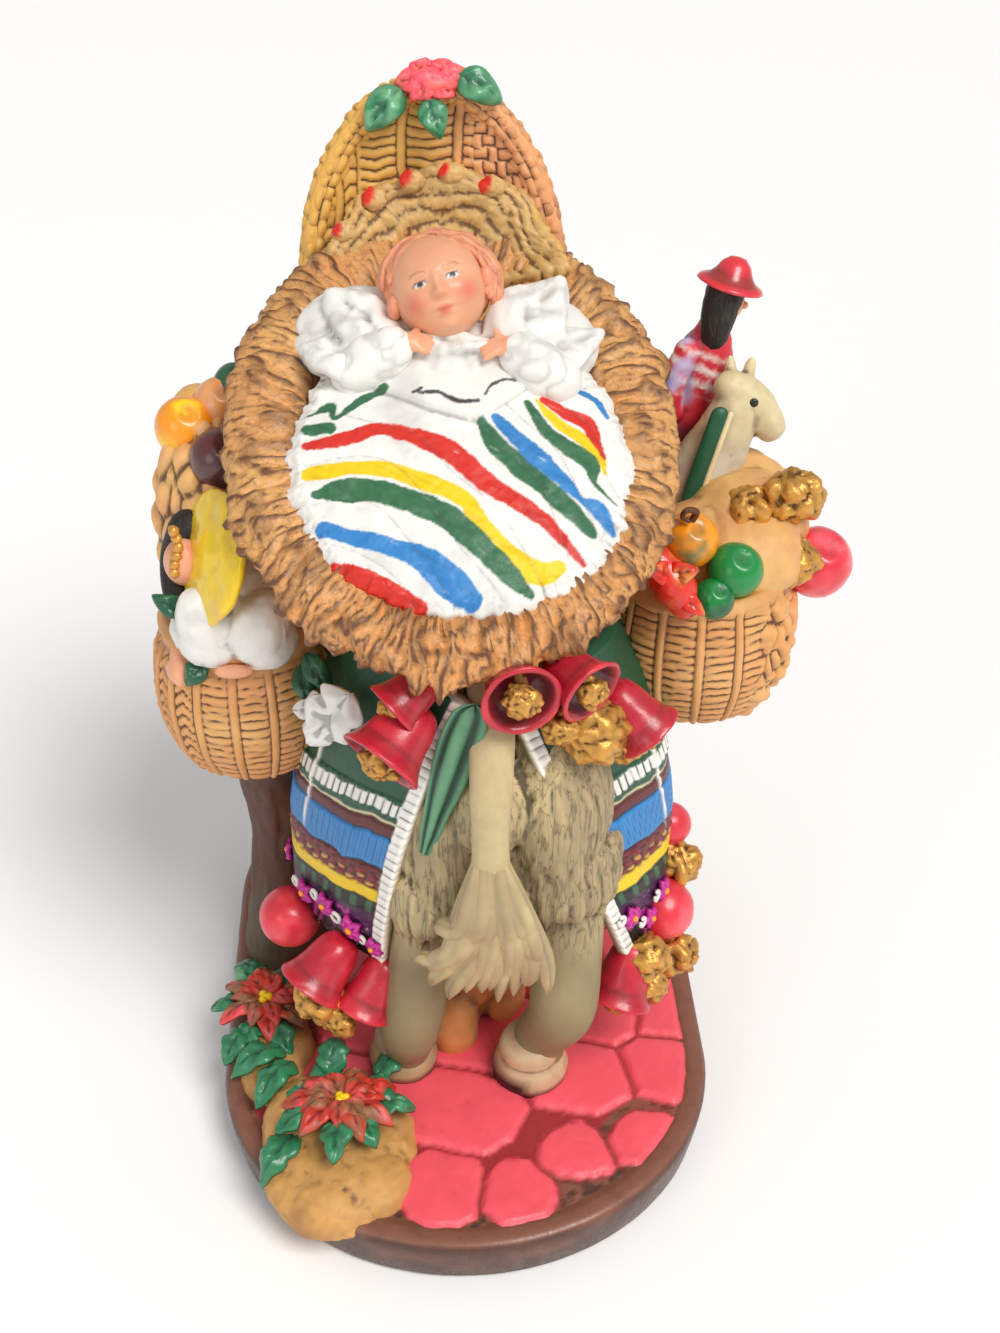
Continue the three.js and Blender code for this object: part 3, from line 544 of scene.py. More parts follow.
PETAL = finish("petal_paint", 0.42, groove_shade=0.6, shade_colour="maroon", crest_highlight=0.35)
DRAPE = finish("serape_paint", 0.42, groove_shade=0.6, shade_colour="black", crest_highlight=0.3, mottle=0.06, grain=0.25)
PAVER = finish("paver_paint", 0.46, groove_shade=0.35, shade_colour="coral_dark", crest_highlight=0.0, mottle=0.04)
EARTH = finish("earth_paint", 0.6, groove_shade=0.8, crest_highlight=0.2, mottle=0.08)
BASE = finish("base_paint", 0.36, groove_shade=0.4, crest_highlight=0.05, mottle=0.15, grain_size=0.7, streak=(1, 1, 2.5))
print("finishes:", len(bpy.data.materials))

# %% [markdown]
# ## The base and its pavers
# The casting stands on an oval slab with straight sides. Paving stones with rounded edges cover it,
# each the part of the ground that lies nearest to its own middle, so one sheet of points with a
# height worked out from those distances gives every joint, corner and worn crown.

# %% Base slab
base_width, base_straight, base_near, base_far, base_thick, base_middle = 108, 58, 52, 50, 12, 4


def base_edge(turn, inset):
    """Points on the outline of the base, moved inwards"""
    near = np.sin(turn) < 0
    end = np.where(near, base_near, base_far) - inset
    middle = base_middle + np.where(near, -0.5, 0.5) * base_straight
    return np.stack([(base_width / 2 - inset) * np.cos(turn), middle + end * np.sin(turn)], -1)


def slab_ring(inset, z):
    half = np.linspace(0, np.pi, 181)
    turn = np.concatenate([half, half + np.pi + 1e-6])
    xy = base_edge(turn, inset)
    sides = [lerp(xy[a], xy[b], np.linspace(0, 1, 42)[1:-1, None]) for a, b in ((180, 181), (361, 0))]
    xy = np.concatenate([xy[:181], sides[0], xy[181:], sides[1]])
    return np.concatenate([xy, np.full((len(xy), 1), z)], 1)


slab_profile = [(2.5, 0), (1.9, 0.4), (1.5, 1), (1.1, 3), (0.7, 5), (0.35, 7), (0.1, 9), (0, 10),
                (0.2, 10.8), (0.7, 11.5), (1.5, 11.9), (2.6, 12), (5, 11.8), (9, 11.0)]
slab = skin([slab_ring(inset, z) for inset, z in slab_profile])
slab = pushed(slab, 0.12 * rough(slab[0], 5, 3) * ease(0.3, 1.5, slab[0][:, 2]))
slab_paint = over(coat(slab[0], "base"), "copper", 0.55 * ease(-0.1, 0.6, rough(slab[0] * [1, 1, 2.4], 9, 5)))
# The rounded top edge is painted a lighter copper-brown, which is both the margin's own colour and a painted highlight
# along the edge.
slab_paint = over(slab_paint, "copper", ease(10.6, 11.6, slab[0][:, 2]) * 0.8)
piece("base_slab", slab, BASE, slab_paint, 0.6)

# %% Paved ground
paver_rise, paver_gap, paver_inset = 0.8, 0.9, 4.2
paver_middles = np.array([
    [-1, -43], [-6, -62], [9.5, -64], [22, -54], [37, -51], [27, -34], [44, -31], [33, -13], [47, -14],
    [24, 2], [42, 6], [30, 24], [46, 27], [14, 40], [30, 45], [18, 60], [-2, 64], [-14, 48], [-30, 56],
    [2, 18], [6, -18], [-22, 30],
], float)
small_pavers = {1: 10.5, 2: 9, 3: 8.2, 4: 8.0, 6: 11.5}
paver_reach = np.array([small_pavers.get(k, 40.0) for k in range(len(paver_middles))])


def paved_ground(across=230, along=330, inset=1.2):
    """A sheet over the base: rows run across it, each as wide as the outline is there"""
    end_rows = int(along * 0.32)
    near = base_middle - base_straight / 2 - (base_near - inset) * np.cos(np.linspace(0.02, np.pi / 2, end_rows))
    far = base_middle + base_straight / 2 + (base_far - inset) * np.sin(np.linspace(0, np.pi / 2 - 0.02, end_rows))
    middle = np.linspace(near[-1], far[0], along - 2 * end_rows + 2)[1:-1]
    y = np.concatenate([near, middle, far])
    reach = np.where(y < 0, (near[-1] - y) / (base_near - inset), (y - far[0]) / (base_far - inset))
    half = (base_width / 2 - inset) * np.sqrt(np.clip(1 - np.clip(reach, 0, 1) ** 2, 0, 1))
    x = np.sin(np.linspace(-1, 1, across) * np.pi / 2 * 0.7) / np.sin(np.pi / 2 * 0.7) * half[:, None]
    return np.stack([x, np.repeat(y[:, None], across, 1), np.full_like(x, base_thick)], -1)


ground_grid = paved_ground()
flat_ground = ground_grid.reshape(-1, 3)
wander = np.stack([rough(flat_ground, 5, 21), rough(flat_ground, 5, 22)], -1) * 0.7
spot = flat_ground[:, :2] + wander
apart = ((spot[:, None] - paver_middles[None]) ** 2).sum(-1)
order = np.argsort(apart, axis=1)[:, :2]
nearest, second = [np.take_along_axis(apart, order[:, k:k + 1], 1)[:, 0] for k in (0, 1)]
between = np.linalg.norm(paver_middles[order[:, 0]] - paver_middles[order[:, 1]], axis=1)
joint_distance = (second - nearest) / (2 * between)
end_y = np.clip(np.abs(flat_ground[:, 1] - base_middle) - base_straight / 2, 0, None)
edge_distance = base_near - np.hypot(flat_ground[:, 0] * base_near / (base_width / 2), end_y)
inside = np.minimum(joint_distance - paver_gap / 2 + 0.25, edge_distance - paver_inset)
inside = np.minimum(inside, paver_reach[order[:, 0]] + 1.6 * rough(flat_ground, 6, 23) - np.sqrt(nearest))
bare = edge_distance - 0.4 - 12 * (paver_reach[order[:, 0]] < 40)
crown = ease(-0.1, 1.5, inside)
ground_height = base_thick - 0.3 + (paver_rise + 0.3) * crown + 0.25 * ease(0, 8, inside)
ground_height += 0.16 * rough(flat_ground, 4, 7) + 0.12 * (1 - crown) * rough(flat_ground, 1.6, 8)
ground_height -= 0.9 * (1 - ease(0.0, 1.8, edge_distance - 1.2))
ground_points = np.concatenate([flat_ground[:, :2], ground_height[:, None]], 1)
paved = skin(ground_points.reshape(ground_grid.shape), caps=False, closed=False)
margin = ease(0.3, -0.5, inside) * ease(5.2, 3.8, bare)
ground_paint = over(coat(flat_ground, "coral"), "coral_dark", 0.9 * ease(0.35, -0.25, inside))
ground_paint = over(ground_paint, "coral_dark", 0.12 * ease(0, 0.6, rough(flat_ground, 7, 15)))
ground_paint = over(ground_paint, "copper", margin * 1.2)
ground_paint = over(ground_paint, "base", margin * ease(-0.1, 0.4, rough(flat_ground, 1.7, 11)))
piece("paved_ground", paved, PAVER, ground_paint, 0.12)

# %% [markdown]
# ## Earth, boulder and stump
# Under the burro lie a mound of earth, stones and a tree stump that also props the left pannier in
# the mould. They are pressed lumps, so overlapping eggs are melted together and then roughened.

# %% Rocks and stump
mound = melted([
    egg((-28, -50, 10), (17, 22, 8.5)), egg((-43, -22, 10), (9, 16, 8)), egg((-30, -62, 11), (9, 9, 6.5)),
    egg((-20, -60, 11), (8, 9, 6)), egg((-36, -44, 12), (9, 11, 8.5)), egg((-42, 36, 12), (9, 13, 9)),
], 0.7)
mound = pushed(mound, 0.9 * rough(mound[0], 7, 31) + 0.35 * rough(mound[0], 1.8, 32))
mound_paint = over(coat(mound[0], "ground"), "copper", 0.6 * ease(0, 0.7, rough(mound[0], 9, 33)))
piece("earth_mound", mound, EARTH, mound_paint, 0.3)

boulder = melted([egg((1, -6, 29), (12, 14, 24)), egg((-3, -19, 16), (7, 7, 9)), egg((8, -12, 18), (6, 6, 8))], 0.8)
boulder = pushed(boulder, 1.1 * rough(boulder[0], 9, 41) - 0.6 * cracks(boulder[0], 12, 42))
piece("boulder", boulder, EARTH, coat(boulder[0], "boulder"), 0.35)

trunk = [(-40, 14, 6, 13), (-40, 13, 26, 10), (-39, 12, 50, 8.5), (-40, 10, 72, 9.5), (-42, 8, 88, 12)]
stump = relaxed(limb(trunk, 90, 130), 1)
bark = np.abs(rough(stump[0] * [1, 1, 0.22], 3.2, 51))
stump = pushed(stump, 1.1 * bark - 0.5)
stump[0][:, 2] = np.maximum(stump[0][:, 2], base_thick / 2)
stump_paint = over(coat(stump[0], "stump"), "olive", ease(46, 20, stump[0][:, 2]) * 0.5)
piece("stump", stump, EARTH, stump_paint, 0.3)

# %% [markdown]
# ## Poinsettias
# Each flower has a ring of red bracts over a wider ring, a button of yellow in the middle, and green
# leaves around. One pointed blade with a sunk midrib, raised veins and a wavy rim, bent along its
# length, makes them all.

# %% One blade
def blade(root, tip, width, up=(0, 0, 1), rise=0.2, thick=0.7, seed=0, teeth=0.0):
    root, tip = np.array(root, float), np.array(tip, float)
    length = np.linalg.norm(tip - root)
    along = (tip - root) / length
    lift = unit(np.array(up, float) - along * np.dot(up, along))
    across = np.cross(along, lift)
    rows, columns = (22, 15) if width > 4 else (14, 9)
    t = np.linspace(0, 1, rows)[:, None]
    s = np.linspace(-1, 1, columns)[None, :]
    form = np.sin(np.pi * t ** 0.8) ** 0.75 * (1 - 0.25 * t) + 0.06
    form = form * (1 + teeth * np.abs(np.sin(t * 9 + seed)) - teeth / 2)
    vein = np.cos((t * 7 - np.abs(s) * 2.2) * np.pi) * 0.05 * (1 - np.abs(s))
    crease = -0.10 * np.exp(-(s / 0.16) ** 2) + 0.16 * (1 - s ** 2) + vein
    wave = 0.08 * np.sin(t * 8 + s * 2 + seed)
    height = width * (crease + wave) * np.sin(np.pi * np.clip(t, 0.03, 1)) ** 0.5 + length * rise * np.sin(np.pi * t)
    top = root + along * length * t[..., None] + across * (s * form * width / 2)[..., None] + lift * height[..., None]
    rings = np.concatenate([top, top[:, ::-1] - lift * thick], axis=1)
    return skin(rings)


# %% Flowers on the ground
def poinsettia(name, centre, radius, petals, lean, seed):
    centre = np.array(centre, float)

    def spot(r, a, z):
        return centre + [r * np.cos(a), r * np.sin(a), z + r * np.sin(a) * lean]

    reds, greens = [], []
    for i in range(petals):
        a = 2 * np.pi * i / petals + 0.15 * np.sin(seed + i * 2.3)
        reds.append(blade(spot(1, a, 1.4), spot(radius * 0.62, a, 1.2), radius * 0.36, seed=i))
        outer = a + np.pi / petals
        reds.append(blade(spot(1.5, outer, 0.2), spot(radius * 0.86, outer, -0.6), radius * 0.42, seed=i + 9))
        greens.append(blade(spot(radius * 0.35, a, -1.2), spot(radius * (1.04 + 0.1 * np.sin(i * 4)), a, -2.6),
                            radius * 0.46, seed=i + 20, teeth=0.3))
    flower = join(*reds)
    away = np.linalg.norm(flower[0][:, :2] - centre[:2], axis=1) / radius
    greenish = ease(-0.2, 0.3, rough(flower[0], 4, seed)) * ease(0.75, 0.2, flower[0][:, 0] * 0.02 + away)
    paint = over(coat(flower[0], "petal"), "leaf", greenish * 0.55)
    paint = over(paint, "coral", 0.5 * ease(0.1, 0.6, rough(flower[0], 3, seed + 4)))
    piece(name + "_bracts", flower, PETAL, paint, 0.25)
    leaves = join(*greens)
    leaf_paint = over(coat(leaves[0], "leaf"), "leaf_pale", 0.5 * ease(0, 0.7, rough(leaves[0], 3, seed + 8)))
    piece(name + "_leaves", leaves, LEAF, leaf_paint, 0.25)
    buttons = join(*[egg(spot(0.9 * (k > 0), k * 2.1, 1.9), 1.0, 12) for k in range(4)])
    piece(name + "_button", buttons, FRUIT, "yellow")


poinsettia("near_poinsettia", (-27, -46, 21), 15, 7, -0.25, 3)
poinsettia("side_poinsettia", (-45, -14, 19.5), 13, 6, 0.1, 5)
ground_leaves = join(*[
    blade(root, tip, width, seed=k, rise=0.25, teeth=0.3) for k, (root, tip, width) in enumerate([
        ((-38, -30, 17), (-46, -41, 15), 7), ((-40, -26, 17), (-52, -32, 15), 7),
        ((-36, -50, 17), (-44, -60, 12.5), 7), ((-30, -36, 19), (-28, -26, 20), 7),
        ((-20, -36, 18), (-13, -30, 17), 6), ((-46, -6, 16), (-53, 4, 14), 7),
        ((-48, -20, 17), (-54, -27, 14), 7),
    ])
])
piece("ground_leaves", ground_leaves, LEAF, "leaf", 0.25)

# %% [markdown]
# ## The burro
# The body is modelled in clay first: barrel, haunches, legs, neck and head are limbs and eggs melted
# into one skin. Long fur hangs over the haunches and stops in a ragged hem above the smooth legs,
# so a row of pointed locks goes in before the melting. The fur itself is noise stretched along the
# way the hair falls, pushed in as grooves.

# %% Body of the burro
burro_x, back_height = 5, 120
barrel = [(0, -36, -25, 9, 12), (0, -33, -26, 19, 22), (0, -25, -29, 24, 29), (-1, -8, -30, 25, 29),
          (-2, 10, -30, 25, 28), (-3, 27, -28, 23, 27), (-3, 38, -25, 18, 22), (-3, 45, -22, 9, 12)]
legs = [
    [(-6, -26, 70, 9, 11), (-9, -30, 48, 7, 8), (-12, -33, 31, 6.6, 6.4), (-13, -29, 21, 5.4, 5.6),
     (-14, -27, 14, 6)],
    [(20, -27, 70, 10, 11), (21, -32, 52, 8, 8.5), (20.5, -35, 36, 7.2, 7), (17, -31, 25, 6), (14.5, -30, 16, 6.5)],
    [(-9, 30, 78, 8, 9), (-10, 31, 50, 6), (-10, 31, 36, 6.2), (-10, 31, 22, 4.9), (-10, 33, 14, 5.5)],
    [(13, 30, 78, 8, 9), (13, 29, 50, 6), (13, 28, 36, 6.2), (13, 29, 22, 4.9), (13, 31, 14, 5.5)],
]
haunches = [egg((-2.5, -28, 84), (11.8, 14, 27)), egg((16.5, -28, 88), (13.6, 14.8, 24))]
neck = [(1, 28, 92, 16, 20), (1, 40, 106, 13, 17), (1, 50, 120, 9.5, 13), (1, 57, 134, 8, 10), (1, 60, 143, 7, 8)]
head = [(1, 53, 147, 6, 6), (1, 58, 144, 8.6, 8.8), (1, 66, 136, 7.8, 8.4), (1, 74, 125, 5.8, 6.4),
        (1, 79, 117, 6, 6.2), (1, 81, 114, 4.6, 4.8)]
burro_parts = [limb([(burro_x + x, y, back_height + z, a, b) for x, y, z, a, b in barrel], 48, 60)]
burro_parts += [limb(stations, 32, 50) for stations in legs] + haunches
burro_parts += [limb(neck, 36, 40), limb(head, 32, 40)]


def hem_locks(middle, radii, z, drop, count, start, end, seed):
    """Pointed tufts along the lower edge of a haunch"""
    made = []
    for k, a in enumerate(np.radians(np.linspace(start, end, count))):
        wild = 0.5 + 0.5 * np.sin(seed + k * 2.7)
        x, y = middle[0] + radii[0] * np.cos(a), middle[1] + radii[1] * np.sin(a)
        low = z - drop * (0.6 + 0.5 * wild)
        made.append(limb([(x * 0.98, y * 0.96, z + 9, 2.6), (x, y * 1.01, z + 1, 2.3, 1.9), (x, y, low, 0.5)], 10, 14))
    return made


burro_parts += hem_locks((-4, -27), (11.5, 13), 64, 6, 12, 170, 330, 1)
burro_parts += hem_locks((18.5, -27), (12.5, 14), 69, 5, 13, 200, 375, 4)
burro = melted(burro_parts, 0.66, 1)
where = burro[0]
longhair = ease(50, 62, where[:, 2]) * ease(20, -10, where[:, 1])
hair_path = where + 1.2 * np.stack([rough(where, 9, 61), rough(where, 9, 62), 0 * where[:, 0]], 1)
strands = np.abs(rough(hair_path * [1, 1, 0.1], 2.3, 63, 2))
fine_hair = np.abs(noise(hair_path * [0.9, 0.9, 0.2], 64))
burro = pushed(burro, longhair * (1.1 * strands + 0.3 * fine_hair - 0.45) + (1 - longhair) * 0.12 * (strands - 0.3))
fur_tone = rough(where * [1, 1, 0.4], 9, 65)
pale_rump = ease(84, 108, where[:, 2]) * ease(17, 9, np.abs(where[:, 0] - burro_x))
burro_paint = over(coat(where, "fur"), "fur_pale", 0.45 * ease(-0.1, 0.6, fur_tone) + 0.8 * pale_rump)
burro_paint = over(burro_paint, "olive", (1 - longhair) * 0.35 * ease(62, 50, where[:, 2]))
piece("burro", burro, FUR, burro_paint, 0.3, 3, longhair)

# %% [markdown]
# Hooves and pasterns are painted a pinkish cream and black at the foot, and on the raised one the black reaches higher
# as painted shadow of the gap under it. The ears, the upright mane and the rope halter are on the far side, which the
# photo doesn't show.

# %% Hooves, ears, mane and halter
hoof_places = [(-14, -26, 0.9, 1), (14, -30, 1.0, 1), (-10, 34, 0.85, -1), (13, 32, 0.85, -1)]
hoof_rows = [(0, 6.6), (0.06, 8.2), (0.3, 8.4), (0.55, 7.6), (0.62, 6.9), (0.8, 6.9), (1, 5.6)]
for k, (x, y, grow, sign) in enumerate(hoof_places):
    rows = [(t, r * grow) for t, r in hoof_rows]
    hoof = turned((x, y - 0.5 * sign, 12.2), (x, y - 1.5 * sign, 24), rows, 40)
    hoof = pushed(hoof, 0.25 * rough(hoof[0], 3, 70 + k) - 0.5 * np.exp(-((hoof[0][:, 2] - 19) / 0.8) ** 2))
    # Black at the foot of each hoof; on the raised hoof the black reaches higher on one side as painted shadow of the
    # gap beneath it.
    hollow = 13.4 + (3.6 * ease(3, -6, hoof[0][:, 0] - x) if k == 1 else 0)
    hoof_paint = over(coat(hoof[0], "hoof"), "fur", np.full(len(hoof[0]), 0.2 if k == 1 else 0.85))
    hoof_paint = over(hoof_paint, "black", ease(0.4, -0.4, hoof[0][:, 2] - hollow))
    piece(f"hoof_{k + 1}", hoof, HOOF, hoof_paint, 0.25)

ears = []
for s in (-1, 1):
    base, tip = np.array([1 + 4 * s, 57, 146]), np.array([1 + 11.5 * s, 53, 174])
    ears.append(limb([(*lerp(base, tip, t), w, w * 0.55) for t, w in
                      [(0, 3.4), (0.3, 4.6), (0.6, 4.0), (0.85, 2.3), (1, 0.8)]], 24, 40))
ears = join(*ears)
ear_dish = ease(0.2, 0.7, facing(*ears)[:, 1]) * ease(148, 156, ears[0][:, 2])
ears = pushed(ears, -1.6 * ear_dish + 0.2 * np.abs(rough(ears[0] * [1, 1, 0.2], 1.6, 75)))
piece("burro_ears", ears, FUR, over(coat(ears[0], "fur"), "hoof", ear_dish * 0.6), 0.25)

mane_line = curve([(1, 34, 124), (1, 46, 138), (1, 54, 150), (1, 60, 154), (1, 66, 146)], 26)
mane = join(*[limb([(*(p - [0, 1.5, 3]), 1.9), (*(p + [0.6 * np.sin(k * 2), -1, 2]), 1.6), (*(p + [np.sin(k * 3), -3, 5]), 0.4)],
                   8, 8) for k, p in enumerate(mane_line)])
piece("burro_mane", mane, FUR, "fur_dark", 0.2)

halter_rings = [((1, 71, 129.5), 7.6, (0, 0.55, -0.8)), ((1, 60, 142.5), 9.8, (0, 0.55, -0.8))]
halter = []
for place, radius, axis in halter_rings:
    across, up, _ = frame_of(axis)
    a = np.linspace(0, 2 * np.pi, 60, endpoint=False)[:, None]
    loop = np.array(place) + radius * (np.cos(a) * across + np.sin(a) * up)
    loop = np.vstack([loop, loop[:2]])
    halter.append(limb([(*p, 0.9) for p in loop], 10, 160, side=axis, rounded=False))
halter = join(*halter)
piece("burro_halter", halter, PETAL, "bell", 0.1)

# %% [markdown]
# ## The tail
# The top of the tail is a smooth tapering strip over the rump, and lower down it opens into a tuft of
# separate locks that curl to the left. The locks are limbs fanned out from one root in three layers.

# %% Tail
tail_x = burro_x - 0.3
strip = limb([(tail_x + 0.6, -33, 122, 4.4, 3), (tail_x + 0.6, -41, 114, 4.3, 3), (tail_x + 0.2, -45.6, 105, 4.0, 3),
              (tail_x, -47, 97, 3.6, 3), (tail_x, -47.6, 90, 3.6, 3), (tail_x, -46.5, 82, 4.2, 3)], 40, 90)
strip = pushed(strip, 0.25 * np.abs(rough(strip[0] * [1, 1, 0.2], 2.4, 80)))
piece("tail_strip", strip, HIDE, over(coat(strip[0], "fur"), "fur_pale", np.full(len(strip[0]), 0.7)), 0.25)

tuft = []
tuft_random = np.random.default_rng(12)
for k in range(36):
    layer = k % 3
    share = tuft_random.uniform(-1, 1) if layer else (k // 3) / 5.5 - 1
    reach = (1.0, 0.86, 0.62)[layer]
    x_end = tail_x - 0.6 + 11.6 * share * reach + tuft_random.uniform(-1, 1) - 2.0 * (share < -0.2)
    z_end = 91 - reach * (43 - 9 * share ** 2 * (1 if share < 0 else 0.3)) + tuft_random.uniform(-2.5, 2.5)
    out, fat = 1.5 * layer, tuft_random.uniform(1.7, 2.6)
    tuft.append(limb([
        (tail_x + 2.0 * share, -46.5 - 0.6 * out, 91 - 2 * abs(share), 1.0),
        (tail_x + 0.3 + 5.4 * share * reach, -48 - out, 91 - 13 * reach, fat, 0.8 * fat),
        (tail_x + 0.8 + 9.4 * share * reach, -47 - out, 91 - 27 * reach, fat, 0.8 * fat),
        (lerp(tail_x + 11 * share * reach, x_end, 0.6), -44.5 - out, lerp(91 - 27 * reach, z_end, 0.62), 0.75 * fat),
        (x_end, -42.5 - out, z_end, 0.35),
    ], 24, 56))
    lock_turn = np.arange(len(tuft[-1][0]) - 2) % 24 * 2 * np.pi / 24
    strand = np.append(np.abs(np.sin(1.5 * lock_turn + k)) ** 0.7, [0, 0])
    tuft[-1] = pushed(tuft[-1], 0.5 * strand - 0.25)
tuft = join(*tuft)
tuft_paint = over(coat(tuft[0], "fur"), "fur_pale", 0.6 * ease(-0.3, 0.4, rough(tuft[0] * [1, 1, 0.3], 4, 82)))
piece("tail_tuft", tuft, HIDE, tuft_paint, 0.25, 3)

# %% [markdown]
# ## The wicker cradle
# The cradle lies tilted on the burro's back, so it gets a plane of its own: u runs across it, v up
# towards the hood and w out of it. The bowl is woven like the panniers, with smooth upright stakes
# and short rungs packed between them.

# %% The plane of the cradle
rim_tilt, rim_roll, rim_centre = 29, 4, np.array([0, 0, 155.0])
rim_half_width, rim_half_length, rim_lip = 44, 53, 13
cradle_turn = turn_about(1, rim_roll) @ turn_about(0, rim_tilt)


def on_cradle(u, v, w):
    u, v, w = np.broadcast_arrays(np.asarray(u, float), v, w)
    return np.stack([u, v, w], -1) @ cradle_turn.T + rim_centre


def rim_ring(grow, w, turn):
    return on_cradle((rim_half_width + grow) * np.cos(turn), (rim_half_length + grow) * np.sin(turn), w)


# %% Weave
def woven(across, upwards, gap=7.8, rung=1.95, slope=0.0, seed=0):
    """Relief of stakes and rungs, from 0 in the grooves to about 1, over distances in millimetres"""
    column = np.floor(across / gap)
    place = across / gap - column - 0.5
    lift = upwards + slope * np.abs(place) * gap + 0.45 * np.sin(column * 5.1 + seed)
    lift = lift + 0.3 * noise(np.stack([across / 3, upwards / 3, 0 * across], -1), seed)
    rungs = np.abs(np.sin(np.pi * lift / rung)) ** 0.35 * (1 - 0.35 * (2 * place) ** 2)
    stake = np.exp(-(((np.abs(place) - 0.5) * gap) / 1.0) ** 4)
    return np.maximum(rungs * (1 - stake), stake * 1.05)


bowl_turn = np.linspace(0, 2 * np.pi, 420, endpoint=False)[None, :]
bowl_rows = curve([(-5, -1), (-8, -4), (-9, -10), (-12, -22), (-18, -34), (-27, -44), (-34, -45)], 84)
bowl = skin(rim_ring(bowl_rows[:, :1], bowl_rows[:, 1:], bowl_turn))
bowl_arc = np.tile(bowl_turn * 38, (84, 1)).ravel()
bowl_up = np.repeat(np.linspace(0, 60, 84), 420)
bowl_relief = np.append(woven(bowl_arc, bowl_up, 2 * np.pi * 38 / 30) * ease(6, 10, bowl_up), [0, 0])
bowl = pushed(bowl, 1.0 * bowl_relief + 0.25 * rough(bowl[0], 5, 91))
bowl_paint = over(coat(bowl[0], "wicker"), "wicker_pale", 0.6 * ease(-0.2, 0.5, rough(bowl[0], 12, 92)))
piece("cradle_bowl", bowl, WICKER, bowl_paint, 0.25)

# %% [markdown]
# The lip of the cradle stands for a thick roll of crumpled straw. Its grooves run outwards across
# it, the outer edge is torn into teeth, and a few long tags hang down in front.

# %% Straw lip
lip_count, lip_rows = 880, 90
lip_section = curve([(-17, -2), (-15, 1.6), (-12.4, 3.3), (-8, 3.9), (-4, 3.3), (-1.2, 1.2), (-0.6, -1.2),
                     (-2.4, -3.4), (-6, -4.8), (-11, -5.2), (-16, -4.6)], lip_rows)
lip_turn = np.linspace(0, 2 * np.pi, lip_count, endpoint=False)[:, None]
lip_step = np.linspace(0, 34, lip_rows)[None, :] * np.ones((lip_count, 1))
ring_place = np.stack([np.cos(lip_turn) * 48 + 0 * lip_step, np.sin(lip_turn) * 48 + 0 * lip_step, lip_step], -1)
swirl = ring_place + 2.4 * np.stack([rough(ring_place, 8, 101), rough(ring_place, 8, 102), 0 * lip_step], -1)
outer = ease(15, 22, lip_step) * ease(34, 27, lip_step)
teeth = 3.0 * np.abs(rough(swirl * [1, 1, 0.1], 3.4, 103, 3)) + 1.6 * rough(ring_place * [1, 1, 0.1], 9, 104)
tags = sum(3.4 * np.exp(-((lip_turn - np.radians(a)) / 0.03) ** 2) for a in (234, 262, 267, 286, 302))
grow = lip_section[None, :, 0] + outer * (teeth - 0.6 + tags * ease(25, 19, lip_step))
lip_w = lip_section[None, :, 1] - outer * tags * 0.9
lip = skin(np.swapaxes(rim_ring(grow, lip_w, lip_turn), 0, 1), caps=False)
lip_points = np.swapaxes(swirl, 0, 1).reshape(-1, 3)
lip_height = np.repeat(lip_step[0], lip_count)
top_side = ease(32, 24, lip_height)
front = ease(-0.2, -0.8, np.tile(np.sin(lip_turn[:, 0]), lip_rows))
radial = np.abs(rough(lip_points * [1, 1, 0.33], 2.3, 105, 3))
crumple = np.abs(rough(lip_points * [1, 1, 0.7], 4.0, 106, 3))
splits = cracks(lip_points * [1, 1, 0.5], 4.4, 109)
lip_relief = (1.2 + 0.4 * front) * radial + (1.3 + 1.5 * front) * crumple - 0.7 * splits
lip = pushed(lip, top_side * (lip_relief - 0.8) + 0.25 * rough(lip_points, 1.2, 110))
lip_paint = over(coat(lip[0], "wicker"), "wicker_pale", 0.5 * ease(-0.2, 0.5, rough(lip[0], 14, 107)))
# Painted shade: dark brown in the splits, with soft dark brown patches over the front.
lip_paint = over(lip_paint, "bark", top_side * (0.45 * splits + 0.25 * ease(0.1, 0.6, rough(lip[0], 7, 108)) * front))
piece("cradle_lip", lip, CRUMPLED, lip_paint, 0.3, 3)

# %% [markdown]
# ## The hood
# The hood is half a thin dome, open to the front. Inside it shows upright stakes and rungs, ochre on
# the left and a browner, brick-like weave on the right. Rows of knots wrap round its edge.

# %% Hood shell
hood_half_width, hood_height, hood_depth, hood_hollow, hood_wall, hood_lean = 26, 40, 20, 2.5, 1.5, 8
hood_centre = np.array([-2.5, 38, 169.5])
hood_turn = turn_about(0, -hood_lean)


def hood_point(phi, theta, inset, depth):
    wide, high = hood_half_width - inset, hood_height - inset
    local = np.stack([wide * np.sin(phi) * np.cos(theta), depth * np.cos(phi) * np.cos(theta),
                      high * np.sin(theta) * np.ones_like(phi)], -1)
    return local @ hood_turn.T + hood_centre, local


def hood_relief(local):
    across, upwards = local[..., 0], local[..., 2]
    bent = across + 0.9 * noise(local / 6, 6)
    rungs = woven(bent + 5.4, upwards, 11.2, 2.1, -0.14, 2)
    bricks = woven(bent - 9.5 + 1.5 * (np.floor(upwards / 2.7) % 2), upwards, 4.4, 2.7, 0.1, 5)
    slanted = woven(bent + 19, upwards - 0.55 * across, 5.2, 2.9, 0.5, 4)
    relief = lerp(rungs, bricks, ease(7, 10, across))
    return lerp(relief, slanted, ease(-13, -15, across))


